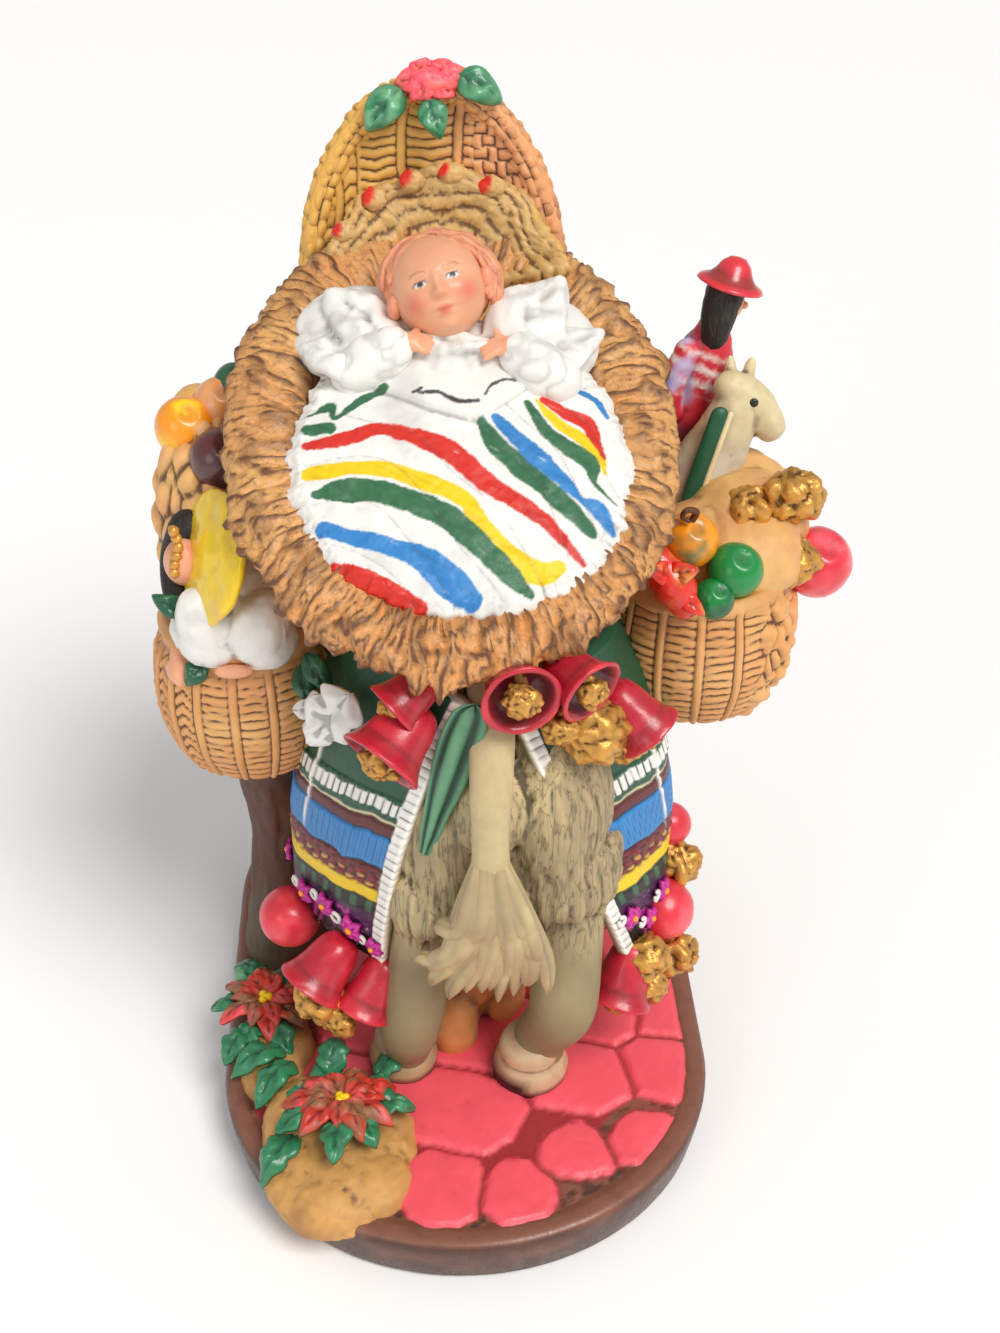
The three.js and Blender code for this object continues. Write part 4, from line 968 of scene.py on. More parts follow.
hood_theta = np.radians(np.linspace(-24, 89.5, 165))[:, None]
hood_phi = np.radians(np.linspace(-90, 90, 190))[None, :]
back_face, back_local = hood_point(hood_phi, hood_theta, 0, hood_depth)
front_face, front_local = hood_point(hood_phi[:, ::-1], hood_theta, hood_wall, hood_hollow)
hood = skin(np.concatenate([back_face, front_face], axis=1))
hood_local = np.concatenate([back_local, front_local], axis=1).reshape(-1, 3)
back_weave = woven(np.tile(hood_phi * 24, (165, 1)), np.repeat(hood_theta * 32, 190, 1), 7.5, 2.1)
hood_weave = np.concatenate([back_weave, hood_relief(front_local)], axis=1).ravel()
hood = pushed(hood, np.append(1.3 * hood_weave - 0.4, [0, 0]) + 0.5 * rough(hood[0], 4, 111))
on_right = np.append(ease(-4, 12, hood_local[:, 0]), [0, 0])
hood_paint = over(coat(hood[0], "ochre"), "peach", on_right)
hood_paint = over(hood_paint, "bark", on_right * 0.3 * ease(0.1, 0.6, rough(hood[0], 7, 112)))
piece("hood", hood, WICKER, hood_paint, 0.26)

# %% Knotted edge of the hood
edge_turn = np.linspace(-0.05, 1.05, 420) * np.pi
edge_reach = [hood_half_width - 1.6, hood_height - 1.6]
edge_local = np.stack([-edge_reach[0] * np.cos(edge_turn), 0 * edge_turn, edge_reach[1] * np.sin(edge_turn)], -1)
edge_path = edge_local @ hood_turn.T + hood_centre + [0, 1.6, 0]
edge = limb([(*p, 2.3, 2.6) for p in edge_path[::6]], 44, 420, side=(0, 1, 0))
edge_along = (len(edge[0]) - 2) // 44
step = np.arange(edge_along)[:, None] * 0.235 + np.zeros((1, 44))
row = np.floor(np.arange(44) / 5.5)[None, :]
crossing = np.abs(np.sin(np.pi * np.arange(44)[None, :] / 5.5)) ** 0.4
knot = np.abs(np.sin(step * 1.15 + row * 1.6 + 0.5 * np.sin(step * 0.7 + row))) ** 0.5
strands = np.append((crossing * knot).ravel(), [0, 0])
edge = pushed(edge, 0.9 * strands - 0.3 + 0.5 * rough(edge[0], 4, 113))
edge_paint = over(coat(edge[0], "ochre"), "peach", ease(-6, 12, edge[0][:, 0]))
edge_paint = over(edge_paint, "bark", 0.4 * ease(4, 20, edge[0][:, 0]) * ease(0, 0.5, rough(edge[0], 5, 114)))
piece("hood_edge", edge, WICKER, edge_paint, 0.25)

# %% Flower on the hood
hood_top = hood_centre + [0.5, 5, hood_height + 0.5]
flower_face = (0, -0.8, 0.6)
hood_petals = join(*[
    blade(hood_top + [0, -1, 0], hood_top + np.array(tip) * 1.05, 5.6, flower_face, seed=k)
    for k, tip in enumerate([(-7, 0, -1), (-4, 1, 2.4), (0, 1, 3), (4, 1, 2.4), (7.5, 0, 0), (4, -3, -2.5),
                             (0, -3, -4), (-4, -3, -3)])
] + [egg(hood_top + [0, -1.6, -0.4], (4.2, 2.2, 2.6), 40, bumps=0.3, size=1.6, seed=4)])
hood_petals = pushed(hood_petals, 0.25 * rough(hood_petals[0], 1.4, 115))
petal_tone = over(coat(hood_petals[0], "coral"), "blush", 0.7 * ease(-0.2, 0.4, rough(hood_petals[0], 2, 116)))
piece("hood_flower", hood_petals, PETAL, petal_tone, 0.25)
hood_leaf_tips = [((-6, -1.5, -1.5), (-13, -4.5, -8.5), 7.5), ((-1, -3, -3), (1.5, -6, -10), 6), ((5, -1.5, 1), (13.5, -3, -4), 7)]
hood_leaves = join(*[
    blade(hood_top + root, hood_top + tip, width, flower_face, 0.15, 1.2, seed=k)
    for k, (root, tip, width) in enumerate(hood_leaf_tips)
])
leaf_tone = over(coat(hood_leaves[0], "leaf"), "leaf_pale", 0.5 * ease(-0.2, 0.6, rough(hood_leaves[0], 2.4, 117)))
piece("hood_leaves", hood_leaves, LEAF, leaf_tone, 0.2)

# %% [markdown]
# ## The straw hat and its pompoms
# The baby's head lies in a wide straw hat. Its brim is one disc with a thick wavy edge. Plaited straw
# shows as rings of twisted strands, the brim curls over at the right, and small pompoms sit on it.

# %% Straw hat
hat_middle, hat_radius = np.array([-0.5, 30, 171.5]), 24
hat_across, hat_up = np.array([1.0, 0, 0]), unit(np.array([0, 0.54, 0.84]))
hat_face = unit(np.array([0, -0.84, 0.54]))


def on_hat(turn, radius, rise):
    spoke = np.cos(turn)[..., None] * hat_across + np.sin(turn)[..., None] * hat_up
    return hat_middle + spoke * np.asarray(radius)[..., None] + hat_face * np.asarray(rise)[..., None]


hat_section = curve([(8, -9), (13, -3.6), (19, -2.4), (23.4, -1.6), (24.6, 0.2), (23, 1.4), (20, 0.8), (14, -0.6),
                     (6, -1.2), (1, -1.2)], 90)
hat_turn = np.linspace(0, 2 * np.pi, 420, endpoint=False)[None, :]
hat_r, hat_w = hat_section[:, :1], hat_section[:, 1:]
fold_turn = (hat_turn - np.radians(9)) / np.radians(7)
curl = ease(5, 9, hat_r) * (2.6 * np.exp(-fold_turn ** 2) - 1.8 * np.exp(-(fold_turn + 1.7) ** 2))
wavy = 0.9 * np.sin(hat_turn * 5 + 1) * ease(12, 24, hat_r) + curl
hat = skin(on_hat(hat_turn, hat_r + 0.8 * np.sin(hat_turn * 9) * ease(15, 24, hat_r), hat_w + wavy))
hat_place = np.stack([hat_r * np.cos(hat_turn), hat_r * np.sin(hat_turn), 0 * hat_turn * hat_r], -1)
braid = hat_r / 2.7 + 1.1 * rough(hat_place, 9, 124)
strand_edge = np.abs(np.sin(np.pi * braid)) ** 0.6
twist = np.abs(rough(hat_place @ rotation(z=35).T * [0.6, 1.3, 1], 1.8, 125))
hat_relief = np.append((0.7 * strand_edge + 0.8 * twist).ravel(), [0, 0])
hat = pushed(hat, 0.9 * hat_relief - 0.4 + 0.9 * rough(hat[0], 4, 121))
hat_paint = over(coat(hat[0], "straw"), "ochre", 0.5 * ease(-0.1, 0.5, rough(hat[0], 5, 122)))
piece("straw_hat", hat, STRAW, hat_paint, 0.22, 3)

pompoms, tips = [], []
for k, (turn, reach) in enumerate([(183, 22.5), (171, 23.5), (149, 22.6), (126, 22.6), (105, 22.6), (85, 23), (64, 22.4)]):
    centre = on_hat(np.radians([turn]), [reach], [1.6])[0]
    ball = egg(centre, (2.4, 2.0, 2.1), 36, bumps=0.25, size=2.4, seed=k)
    pompoms.append(pushed(ball, 0.3 * knobs(ball[0], 1.0, k)))
    tip = np.clip(unit(ball[0] - centre) @ unit(np.array([-0.8, -0.3, 0.5])), 0, 1)
    tips.append(ease(0.5, 0.75, tip + 0.12 * np.sin(k * 2.2)))
pompoms = join(*pompoms)
pompom_paint = over(coat(pompoms[0], "straw"), "cream", 0.4 * ease(-0.2, 0.5, rough(pompoms[0], 2, 123)))
piece("hat_pompoms", pompoms, STRAW, over(pompom_paint, "red", np.concatenate(tips)), 0.2)

# %% [markdown]
# ## The baby
# The head is a stretched ball pushed in and out by soft bumps on calm, plain proportions: eyes on
# the middle line, the nose half way below them, the mouth a third of the way on. The face, lids and
# lips are painted with small touches, and a fringe of wavy hair frames it.

# %% Head of the baby
head_place, head_radius = on_cradle(-3.6, 24, 14), 9.6
head_face = unit(np.array([-0.05, -0.86, 0.52]))
head_up = unit(np.array([-0.28, 0.5, 0.85]) - head_face * np.dot(head_face, [-0.28, 0.5, 0.85]))
head_side = np.cross(head_up, -head_face)
head_frame = np.stack([head_side, head_up, head_face])


def bump(x, y, at_x, at_y, wide, high):
    return np.exp(-((x - at_x) / wide) ** 2 - ((y - at_y) / high) ** 2)


head_ball = egg((0, 0, 0), (9.0, 9.5, 9.7), 190)
x, z, y = (head_ball[0] @ np.diag([1, 1, 1])).T
face_in = np.stack([x, y, -z], -1)
x, y, front = face_in.T
mirror = np.abs(x)
ahead = ease(0, 3, front)
face_relief = ahead * (
    0.75 * bump(mirror, y, 4.4, -2.8, 2.8, 2.6) + 1.5 * bump(x, y, 0, -1.7, 1.0, 1.1)
    + 0.7 * bump(x, y, 0, 0.3, 0.8, 1.8) + 0.5 * bump(mirror, y, 1.2, -2.0, 0.7, 0.6)
    - 0.75 * bump(mirror, y, 3.2, 0.5, 1.7, 1.1) + 0.5 * bump(mirror, y, 3.2, 0.4, 1.2, 0.65)
    + 0.65 * bump(x, y, 0, -4.4, 1.9, 0.7) + 0.55 * bump(x, y, 0, -5.5, 1.5, 0.6)
    - 0.45 * bump(x, y, 0, -4.95, 1.9, 0.25) + 0.8 * bump(x, y, 0, -7.4, 2.2, 1.2)
    + 0.35 * bump(mirror, y, 3.0, 2.6, 2.4, 0.8)
)
head_local = (face_in + unit(face_in) * face_relief[:, None]) @ np.diag([1, 1.02, 1])
head_skin = outward(head_local @ head_frame + head_place, head_ball[1])
blush = ahead * (bump(mirror, y, 4.8, -2.8, 2.2, 1.9) + 0.4 * bump(x, y, 0, -1.8, 1.2, 1) + 0.3 * bump(x, y, 0, 6, 4, 2))
head_paint = over(coat(head_local, "skin"), "blush", blush * 0.8)
head_paint = over(head_paint, "red", ahead * 0.5 * ease(0.35, 0.8, bump(x, y, 0, -4.5, 1.8, 0.5) + bump(x, y, 0, -5.4, 1.4, 0.45)))
almond = ahead * ease(1.35, 1.15, np.hypot((mirror - 3.2) / 1.15, (y - 0.35) / 0.45))
iris = almond * ease(0.62, 0.48, np.hypot(mirror - 3.2, y - 0.35))
lash = ahead * ease(1.7, 1.3, np.abs(mirror - 3.2)) * ease(0.26, 0.12, np.abs(y - 0.85 + 0.2 * (mirror - 3.2) ** 2))
brow = ahead * ease(1.9, 1.5, np.abs(mirror - 3.2)) * ease(0.28, 0.1, np.abs(y - 2.5 + 0.16 * (mirror - 3) ** 2))
head_paint = over(head_paint, "white", almond * 0.9)
head_paint = over(head_paint, "grey", iris)
head_paint = over(over(head_paint, "grey", lash * 0.9), "bark", brow * 0.45)
piece("baby_head", head_skin, SKIN, head_paint, 0.3)

# %% Ears, hair and cap edge
head_ears = join(*[egg(np.array([s * 9.0, -1.2, 1.8]) @ head_frame + head_place, (1.5, 1.9, 2.6), 40)
                   for s in (-1, 1)])
piece("baby_ears", head_ears, SKIN, over(coat(head_ears[0], "skin"), "blush", np.full(len(head_ears[0]), 0.4)))
def round_head(reach, depth, width, thick):
    rows = [(reach * np.cos(a), (reach - 0.6) * np.sin(a) - 0.4, depth + 0.3 * np.sin(a * 7), width, thick)
            for a in np.radians(np.linspace(28, 200, 32))]
    return limb([(*(np.array(r[:3]) @ head_frame + head_place), r[3], r[4]) for r in rows], 36, 260, side=head_face)


hair = join(round_head(9.4, 1.8, 1.3, 0.8), round_head(10.7, -1.2, 2.0, 1.6),
            egg(np.array([0, 1.0, -2.6]) @ head_frame + head_place, (10.4, 8.6, 10.2), 60, bumps=0.04, size=2))
hair_at = (hair[0] - head_place) @ head_frame.T
hair_turn = np.arctan2(hair_at[:, 1], hair_at[:, 0])
hair_flow = np.stack([hair_turn * 10, np.hypot(hair_at[:, 0], hair_at[:, 1]), hair_at[:, 2]], 1)
hair_strands = np.abs(rough(hair_flow * [0.22, 1, 1] + 0.8 * rough(hair_flow, 5, 133)[:, None], 1.5, 134))
hair = pushed(hair, 0.7 * hair_strands + 0.5 * rough(hair[0], 3, 135) - 0.2)
hair_paint = over(coat(hair[0], "hair"), "peach", 0.6 * ease(-0.1, 0.5, rough(hair[0], 2, 131)))
# Painted shade: a darker red-brown in the grooves between the strands.
piece("baby_hair", hair, STRAW, over(hair_paint, "coral_dark", 0.35 * ease(0.12, 0.0, hair_strands)), 0.25)

# %% [markdown]
# ## Pillow, sleeves and hands
# White cloth bunches up around the head. Its lumps are melted eggs, and folds are pushed in where
# noise crosses zero, which leaves sharp valleys between soft pads. Fingers are short limbs.

# %% White cloth around the head
pillow_parts = [egg(on_cradle(18 * s - 1.5, 19, 5.5), (12, 11, 4), turn=(rim_tilt, 10 * s, 0)) for s in (-1, 1)]
pillow_parts += [egg(on_cradle(-1.5, 12, 6.5), (13, 7, 4), turn=(rim_tilt, 0, 0))]
pillow_flaps = [blade(on_cradle(8, 12, 9), on_cradle(21, 30, 11.5), 16, on_cradle(0, 0, 1) - on_cradle(0, 0, 0), 0.08, 1.6),
                blade(on_cradle(13, 9, 9), on_cradle(29, 20, 8.5), 11, on_cradle(0, 0, 1) - on_cradle(0, 0, 0), 0.08, 1.6),
                blade(on_cradle(-12, 12, 9), on_cradle(-25, 26, 9), 13, on_cradle(0, 0, 1) - on_cradle(0, 0, 0), 0.1, 1.6),
                blade(on_cradle(-16, 8, 9), on_cradle(-30, 14, 7), 10, on_cradle(0, 0, 1) - on_cradle(0, 0, 0), 0.1, 1.6),
                blade(on_cradle(-12, 15, 9), on_cradle(9, 13, 12), 6, on_cradle(0, 0, 1) - on_cradle(0, 0, 0), 0.05, 1.2)]
pillow = melted(pillow_parts + pillow_flaps, 0.45, 1)
crumpled = ease(4, -6, pillow[0][:, 0])
pillow_folds = np.abs(rough(pillow[0] * [1, 0.6, 0.8], 6, 141, 3))
pillow = pushed(pillow, (0.4 + 0.8 * crumpled) * pillow_folds - 0.2 + 0.15 * rough(pillow[0], 1.5, 142))
# Painted shade: grey in the valleys of the folds.
pillow_paint = over(coat(pillow[0], "white"), "shade", 0.6 * ease(0.2, 0.0, pillow_folds))
piece("pillow", pillow, CLOTH, pillow_paint, 0.35)

sleeves, hands = [], []
for s, lean in ((-1, 0.4), (1, -0.5)):
    sleeves.append(limb([(*on_cradle(19 * s, 8, 8), 5, 4), (*on_cradle(15 * s, 10, 10), 5.4, 4), (*on_cradle(12.4 * s, 11.5, 11.2), 4.6, 3.4)],
                        30, 30))
    palm = on_cradle(9.6 * s, 12.5, 12.2)
    hands.append(egg(palm, (3.6, 2.1, 1.6), 30, turn=(rim_tilt, 0, 12 * s)))
    for k in range(4):
        root = on_cradle((8.6 - 0.4 * k) * s, 13.9 - 1.0 * k, 12.6)
        tip = on_cradle((4.6 + 0.35 * abs(k - 1)) * s, 13.4 - 1.15 * k + lean, 12.0)
        hands.append(limb([(*root, 0.75), (*lerp(root, tip, 0.5), 0.7), (*tip, 0.5)], 10, 10))
    thumb = on_cradle(7.2 * s, 15.6, 12.6)
    hands.append(limb([(*palm, 0.9), (*thumb, 0.65)], 10, 10))
sleeves = melted(sleeves, 0.45, 2)
sleeve_folds = np.abs(rough(sleeves[0], 4, 143, 2))
sleeves = pushed(sleeves, 0.8 * sleeve_folds - 0.3)
# Painted shade: grey in the valleys of the folds.
piece("baby_sleeves", sleeves, CLOTH, over(coat(sleeves[0], "white"), "shade", 0.6 * ease(0.2, 0.02, sleeve_folds)), 0.3)
hands = melted(hands, 0.3, 2)
piece("baby_hands", hands, SKIN, over(coat(hands[0], "skin"), "blush", 0.35 * ease(-0.2, 0.5, rough(hands[0], 2, 144))), 0.2)

# %% [markdown]
# ## The striped blanket
# The blanket swells over the baby like a shallow dome with a torn rim. Its painted stripes run in
# slanting arcs, laid on with a loaded brush: each is a line with a width at every point, and its
# edge wanders a little. Above the middle the sheet is turned down in a soft roll.

# %% Form of the blanket
blanket_middle, blanket_radius = np.array([1.5, -9.0]), 32.5
square = np.linspace(-1, 1, 230)
su, sv = np.meshgrid(square, square)
disc = np.stack([su * np.sqrt(1 - sv ** 2 / 2), sv * np.sqrt(1 - su ** 2 / 2)], -1)
disc_r = np.hypot(disc[..., 0], disc[..., 1]) * 1.05
disc_turn = np.arctan2(disc[..., 1], disc[..., 0])
torn_place = np.stack([np.cos(disc_turn) * 12, np.sin(disc_turn) * 12, 0 * disc_turn], -1)
torn = 1 + ease(0.8, 1, disc_r) * (0.035 * rough(torn_place, 1.5, 151) + 0.02 * rough(torn_place, 0.5, 152))
flat_r = np.minimum(disc_r, 1.0) * torn
blanket_u = blanket_middle[0] + blanket_radius * flat_r * np.cos(disc_turn)
blanket_v = blanket_middle[1] + blanket_radius * flat_r * np.sin(disc_turn)
dome = np.interp(disc_r, [0, 0.2, 0.5, 0.8, 0.94, 1, 1.05], [9.2, 9.1, 8.6, 7.0, 5.4, 3.6, -1.5])
sheet_place = np.stack([blanket_u, blanket_v, 0 * dome], -1)

fold_line = np.array([(-22, 8), (-12.5, 3.5), (-5.5, 0.3), (2.5, -2.2), (5.5, -1), (12.5, 5), (18, 11)])
fold_v = np.interp(blanket_u, fold_line[:, 0], fold_line[:, 1])
turned_down = ease(-0.5, 0.8, blanket_v - fold_v) * ease(23, 19, np.abs(blanket_u))
arc_height = np.hypot(blanket_u + 27, (blanket_v + 52) * 0.9)
furrow = np.abs(np.sin(arc_height * 0.42 + 1.2 * noise(sheet_place / 14, 153)))
sheet_relief = (1 - turned_down) * (0.55 * (1 - furrow ** 0.5) * -1 + 0.35 * rough(sheet_place, 3, 154))
sheet_relief += turned_down * (1.1 + 1.0 * np.abs(rough(sheet_place, 8, 155, 2)))
sheet_relief += ease(0.84, 0.98, disc_r) * (0.9 * np.abs(rough(sheet_place, 2.4, 156)) + 0.3)
sheet_relief *= ease(1.05, 0.99, disc_r)
blanket = skin(on_cradle(blanket_u, blanket_v, dome + sheet_relief), caps=False, closed=False)

# %% Painted stripes
STRIPES = [
    ("red", [(-27.5, -7.5, .8), (-22.5, -7, 1.3), (-18.5, -6, 1.5), (-14, -4.5, 1.4), (-7, -6.5, 1.9), (-1, -9.5, 2.2),
             (5.5, -15.5, 1.9), (12, -20, 1.7), (17.5, -24, 1.4), (23.5, -30.5, .4)]),
    ("yellow", [(-26.5, -13.5, 1.7), (-18.5, -13, 1.5), (-12.5, -13.5, 1.7), (-5.5, -16, 1.7), (1.5, -19.5, 1.7),
                (4.5, -24.5, 1.9), (9.5, -30, 2.2), (15.5, -33, 2.2), (19, -31.5, 1.2)]),
    ("green", [(-25.5, -18, .7), (-20.5, -17.5, 2.2), (-14, -18, 2.2), (-7, -20.5, 2.4), (-1, -23.5, 2.4),
               (4.5, -28.5, 2.2), (9.5, -33.5, 1.9), (13.5, -37, .7)]),
    ("blue", [(-24, -25, 1.4), (-18, -27, 1.4), (-11.5, -29, 1.7), (-5.5, -31.5, 2.4), (-1, -35.5, 3), (3, -38.5, 1.9)]),
    ("red", [(-22, -32, .7), (-18, -34.5, 2.2), (-12.5, -37.5, 2.6), (-6, -40, 1.2)]),
    ("green", [(5, -2.5, 1), (7.5, -7.5, 1.9), (12, -12, 2.2), (16.5, -16, 1.9), (20.5, -19.5, 1.9), (25, -24, 1.2)]),
    ("blue", [(7.5, -1.5, 1), (12, -6.5, 1.7), (16.5, -11, 1.7), (20.5, -15, 1.4), (23.5, -18, .7), (26.5, -19.5, 1.7),
              (29, -23.5, .7)]),
    ("green", [(13.5, 2.5, .5), (16.5, -3, 1.1), (21, -7, 1.7), (25, -9.5, 1.9), (26, -14, .5), (30, -18, .2)]),
    ("yellow", [(15, 3.5, .3), (19, -1.5, 1.1), (23.5, -4.5, 1.4), (27, -7.5, 1), (28, -11.5, .3)]),
    ("red", [(17, 3.5, 1), (21, 1, 1.4), (24.5, -.5, 1.7), (26.5, -4.5, 1), (28, -8, .2)]),
    ("blue", [(20, 7.5, .2), (24.5, 6.5, .7), (27, 5, .8), (29, 1.5, .5)]),
    ("green", [(-27.5, -.5, .3), (-23.5, 1, 1), (-22.5, -1.5, .4), (-18.5, 1.5, .8), (-13.5, 4.5, .8)]),
    ("green", [(-27.5, -4, 1.2), (-23.5, -4, 1.4)]),
    ("grey", [(-8, 3, .3), (-6.5, 4, .3), (-7, 3, .3), (-3.5, 3, .35), (-1.5, 2, .45), (.5, 1, .4), (4, 1.5, .3)]),
    ("grey", [(5.5, 3, .3), (6.5, 5, .3), (9, 6.5, .25), (11.5, 7, .25), (12.5, 8, .3), (10, 8.5, .2)]),
]


def brushed(paint, places, colour, line, seed):
    """Lays one brush stroke over the points it covers"""
    rows = curve(line, 12 * len(line))
    best = np.full(len(places), 99.0)
    for a, b in zip(rows[:-1], rows[1:]):
        along = b[:2] - a[:2]
        t = np.clip(((places - a[:2]) @ along) / max(along @ along, 1e-6), 0, 1)
        away = np.linalg.norm(places - a[:2] - t[:, None] * along, axis=1) - lerp(a[2], b[2], t)
        best = np.minimum(best, away)
    flat = np.concatenate([places, np.zeros((len(places), 1))], 1)
    best = best + 0.3 * rough(flat, 2.2, seed) + 0.1 * noise(flat * 2.4, seed + 1)
    bristles = rough(flat @ rotation(z=30).T * [0.25, 1.6, 1], 1.2, seed + 2)
    laid = over(paint, colour, ease(0.2, -0.1, best) * ease(1.2, 0.6, bristles))
    return over(laid, COLOURS[colour] * 0.6, ease(0.1, -0.1, best) * 0.4 * ease(0.0, 0.6, -bristles))


blanket_uv = np.stack([blanket_u.ravel(), blanket_v.ravel()], -1)
# Painted shade: soft grey patches over the white sheet.
shade_patches = 0.5 * ease(0.0, 0.7, rough(np.concatenate([blanket_uv, 0 * blanket_uv[:, :1]], 1), 9, 157))
blanket_paint = over(coat(blanket_uv, "white"), "shade", shade_patches)
for k, (colour, line) in enumerate(STRIPES):
    blanket_paint = brushed(blanket_paint, blanket_uv, colour, line, 160 + k)
piece("blanket", blanket, CLOTH, blanket_paint, 0.3, keep=1)

# %% [markdown]
# ## The serape
# A woven blanket hangs down each flank. Each side is one sheet between a rear edge, the line where
# it bulges most and a front edge, which are smooth curves. Colour bands follow the height on the
# sheet, and each band has its own relief: pickets, ribs, scallops and a stitched border.

# %% A panel of cloth
def bend(start, through, end, t):
    start, through, end = (np.array(p, float) for p in (start, through, end))
    t = t[:, None]
    return (1 - t) ** 2 * start + 2 * t * (1 - t) * through + t * t * end


def panel_sheet(rear, side, front, down, across):
    t = np.linspace(0, 1, down)
    r, s, f = bend(*rear, t), bend(*side, t), bend(*front, t)
    belly = (r + s) / 2
    belly = belly + 2.2 * unit((belly - [burro_x, 0, 0]) * [1, 1, 0])
    return curve([r, belly, s, (s + f) / 2, f], across).transpose(1, 0, 2)


# %% Bands of the weave
BANDS = [(0.36, "dark_green"), (0.405, "white"), (0.43, "dark_green"), (0.445, "cream"), (0.49, "maroon"),
         (0.615, "blue"), (0.66, "maroon"), (0.695, "maroon"), (0.75, "yellow"), (0.80, "black"), (0.90, "purple"),
         (1.01, "black")]


def band_paint(height, along, seed):
    """Colours and relief for heights from 0 at the top of the cloth to 1 at its hem"""
    cloth_place = np.stack([along, height * 75, 0 * along], -1)
    wave = height + 0.012 * rough(cloth_place, 5, seed + 3)
    paint = coat(height, "dark_green")
    for (low, _), (high, colour) in zip([(0, "")] + BANDS[:-1], BANDS):
        paint = over(paint, colour, ease(low - 0.002, low + 0.004, wave) * ease(high + 0.002, high - 0.004, wave))
    pickets = ease(0.345, 0.355, height) * ease(0.42, 0.41, height)
    tick = np.abs(np.sin(along * 1.55)) ** 0.5
    paint = over(paint, "dark_green", pickets * ease(0.55, 0.4, tick))
    scallops = ease(0.615, 0.625, height) * ease(0.705, 0.695, height)
    leaf = np.sin(along * 1.1 + seed) * np.sin(height * 150)
    paint = over(paint, "gilt", scallops * ease(0.25, 0.5, leaf) * ease(0.64, 0.66, height))
    paint = over(paint, "coral_dark", scallops * ease(0.1, 0.4, -leaf) * 0.6)
    zigzag = ease(0.75, 0.755, height) * ease(0.80, 0.79, height)
    paint = over(paint, "green", zigzag * ease(0, 0.2, np.sin(along * 1.4) - 0.3) * 0.8)
    blossom = ease(0.80, 0.83, height) * ease(0.99, 0.95, height)
    paint = over(paint, "magenta", blossom * ease(0.25, 0.55, rough(cloth_place, 2.2, seed + 5)))
    paint = over(paint, "white", blossom * 0.7 * ease(0.5, 0.75, rough(cloth_place, 1.3, seed + 6)))
    ribs = ease(0.49, 0.50, wave) * ease(0.615, 0.605, wave)
    relief = 0.45 * pickets * tick + 0.28 * ribs * np.abs(np.sin(along * 3.2)) + 0.4 * scallops * np.abs(leaf)
    for edge, _ in BANDS[3:9]:
        relief = relief - 0.35 * np.exp(-((wave - edge) / 0.006) ** 2)
    return paint, relief + 0.5 * blossom * np.abs(rough(cloth_place, 2.2, seed + 5))


def serape_panel(name, rear, side, front, down, across, seed, slant):
    sheet = panel_sheet(rear, side, front, down, across)
    along = np.concatenate([np.zeros((down, 1)), np.cumsum(np.linalg.norm(np.diff(sheet, axis=1), axis=2), axis=1)], 1)
    t = np.linspace(0, 1, down)[:, None] * np.ones((1, across))
    share = np.linspace(0, 1, across)[None, :] * np.ones((down, 1))
    height = np.clip(t - slant * np.clip(share * 2, 0, 1) * ease(0.1, 0.5, t), 0, 1)
    paint, relief = band_paint(height.ravel(), along.ravel(), seed)
    border = ease(3.6, 3.2, along.ravel())
    stitch = np.abs(np.sin(np.pi * t.ravel() * 80 / 2.5)) ** 0.4
    # White stitched border, with painted shade between the stitches.
    paint = over(over(paint, "white", border), "shade", border * ease(0.6, 0.3, stitch))
    crease = np.exp(-((share.ravel() - 0.4) / 0.008) ** 2) * ease(0.15, 0.25, t.ravel()) * ease(0.7, 0.6, t.ravel())
    paint = over(paint, "white", crease)
    relief = lerp(relief, 0.5 * stitch, border) + 0.3 * rough(sheet.reshape(-1, 3), 7, seed) + 0.3 * crease
    skin_of_sheet = skin(sheet, caps=False, closed=False)
    out = facing(*skin_of_sheet)
    sign = np.sign(np.einsum("ij,ij->i", out, (sheet.reshape(-1, 3) - [burro_x, 0, 80]) * [1, 1, 0]).mean())
    out = out * sign
    face = (sheet.reshape(-1, 3) + out * (0.5 + relief[:, None])).reshape(sheet.shape)
    back = (sheet.reshape(-1, 3) - out * 1.5).reshape(sheet.shape)
    inside = np.r_[across - 1:0:-8, 0]
    cloth = skin(np.concatenate([face, back[:, inside]], axis=1))
    inside_paint = np.broadcast_to(COLOURS["fur"], (down, len(inside), 3))
    colours = np.concatenate([paint.reshape(down, across, 3), inside_paint], 1).reshape(-1, 3)
    colours = np.concatenate([colours, COLOURS["black"][None], COLOURS["black"][None]])
    piece(name, cloth, DRAPE, colours, 0.22, 3, keep=1)
    return sheet, out.reshape(sheet.shape)


left_sheet, left_out = serape_panel(
    "serape_left", [(1, -41, 121), (-15, -40, 86), (-17, -30, 46)], [(-20, -15, 120), (-38, -8, 86), (-36, -4, 44)],
    [(-20, 28, 120), (-34, 30, 86), (-33, 30, 46)], 230, 190, 1, 0.085)
right_sheet, right_out = serape_panel(
    "serape_right", [(8, -40, 121), (22, -38, 82), (34, -29, 45)], [(30, -16, 120), (50, -8, 84), (44, -7, 42)],
    [(30, 28, 120), (42, 30, 86), (41, 30, 44)], 200, 170, 2, 0.05)

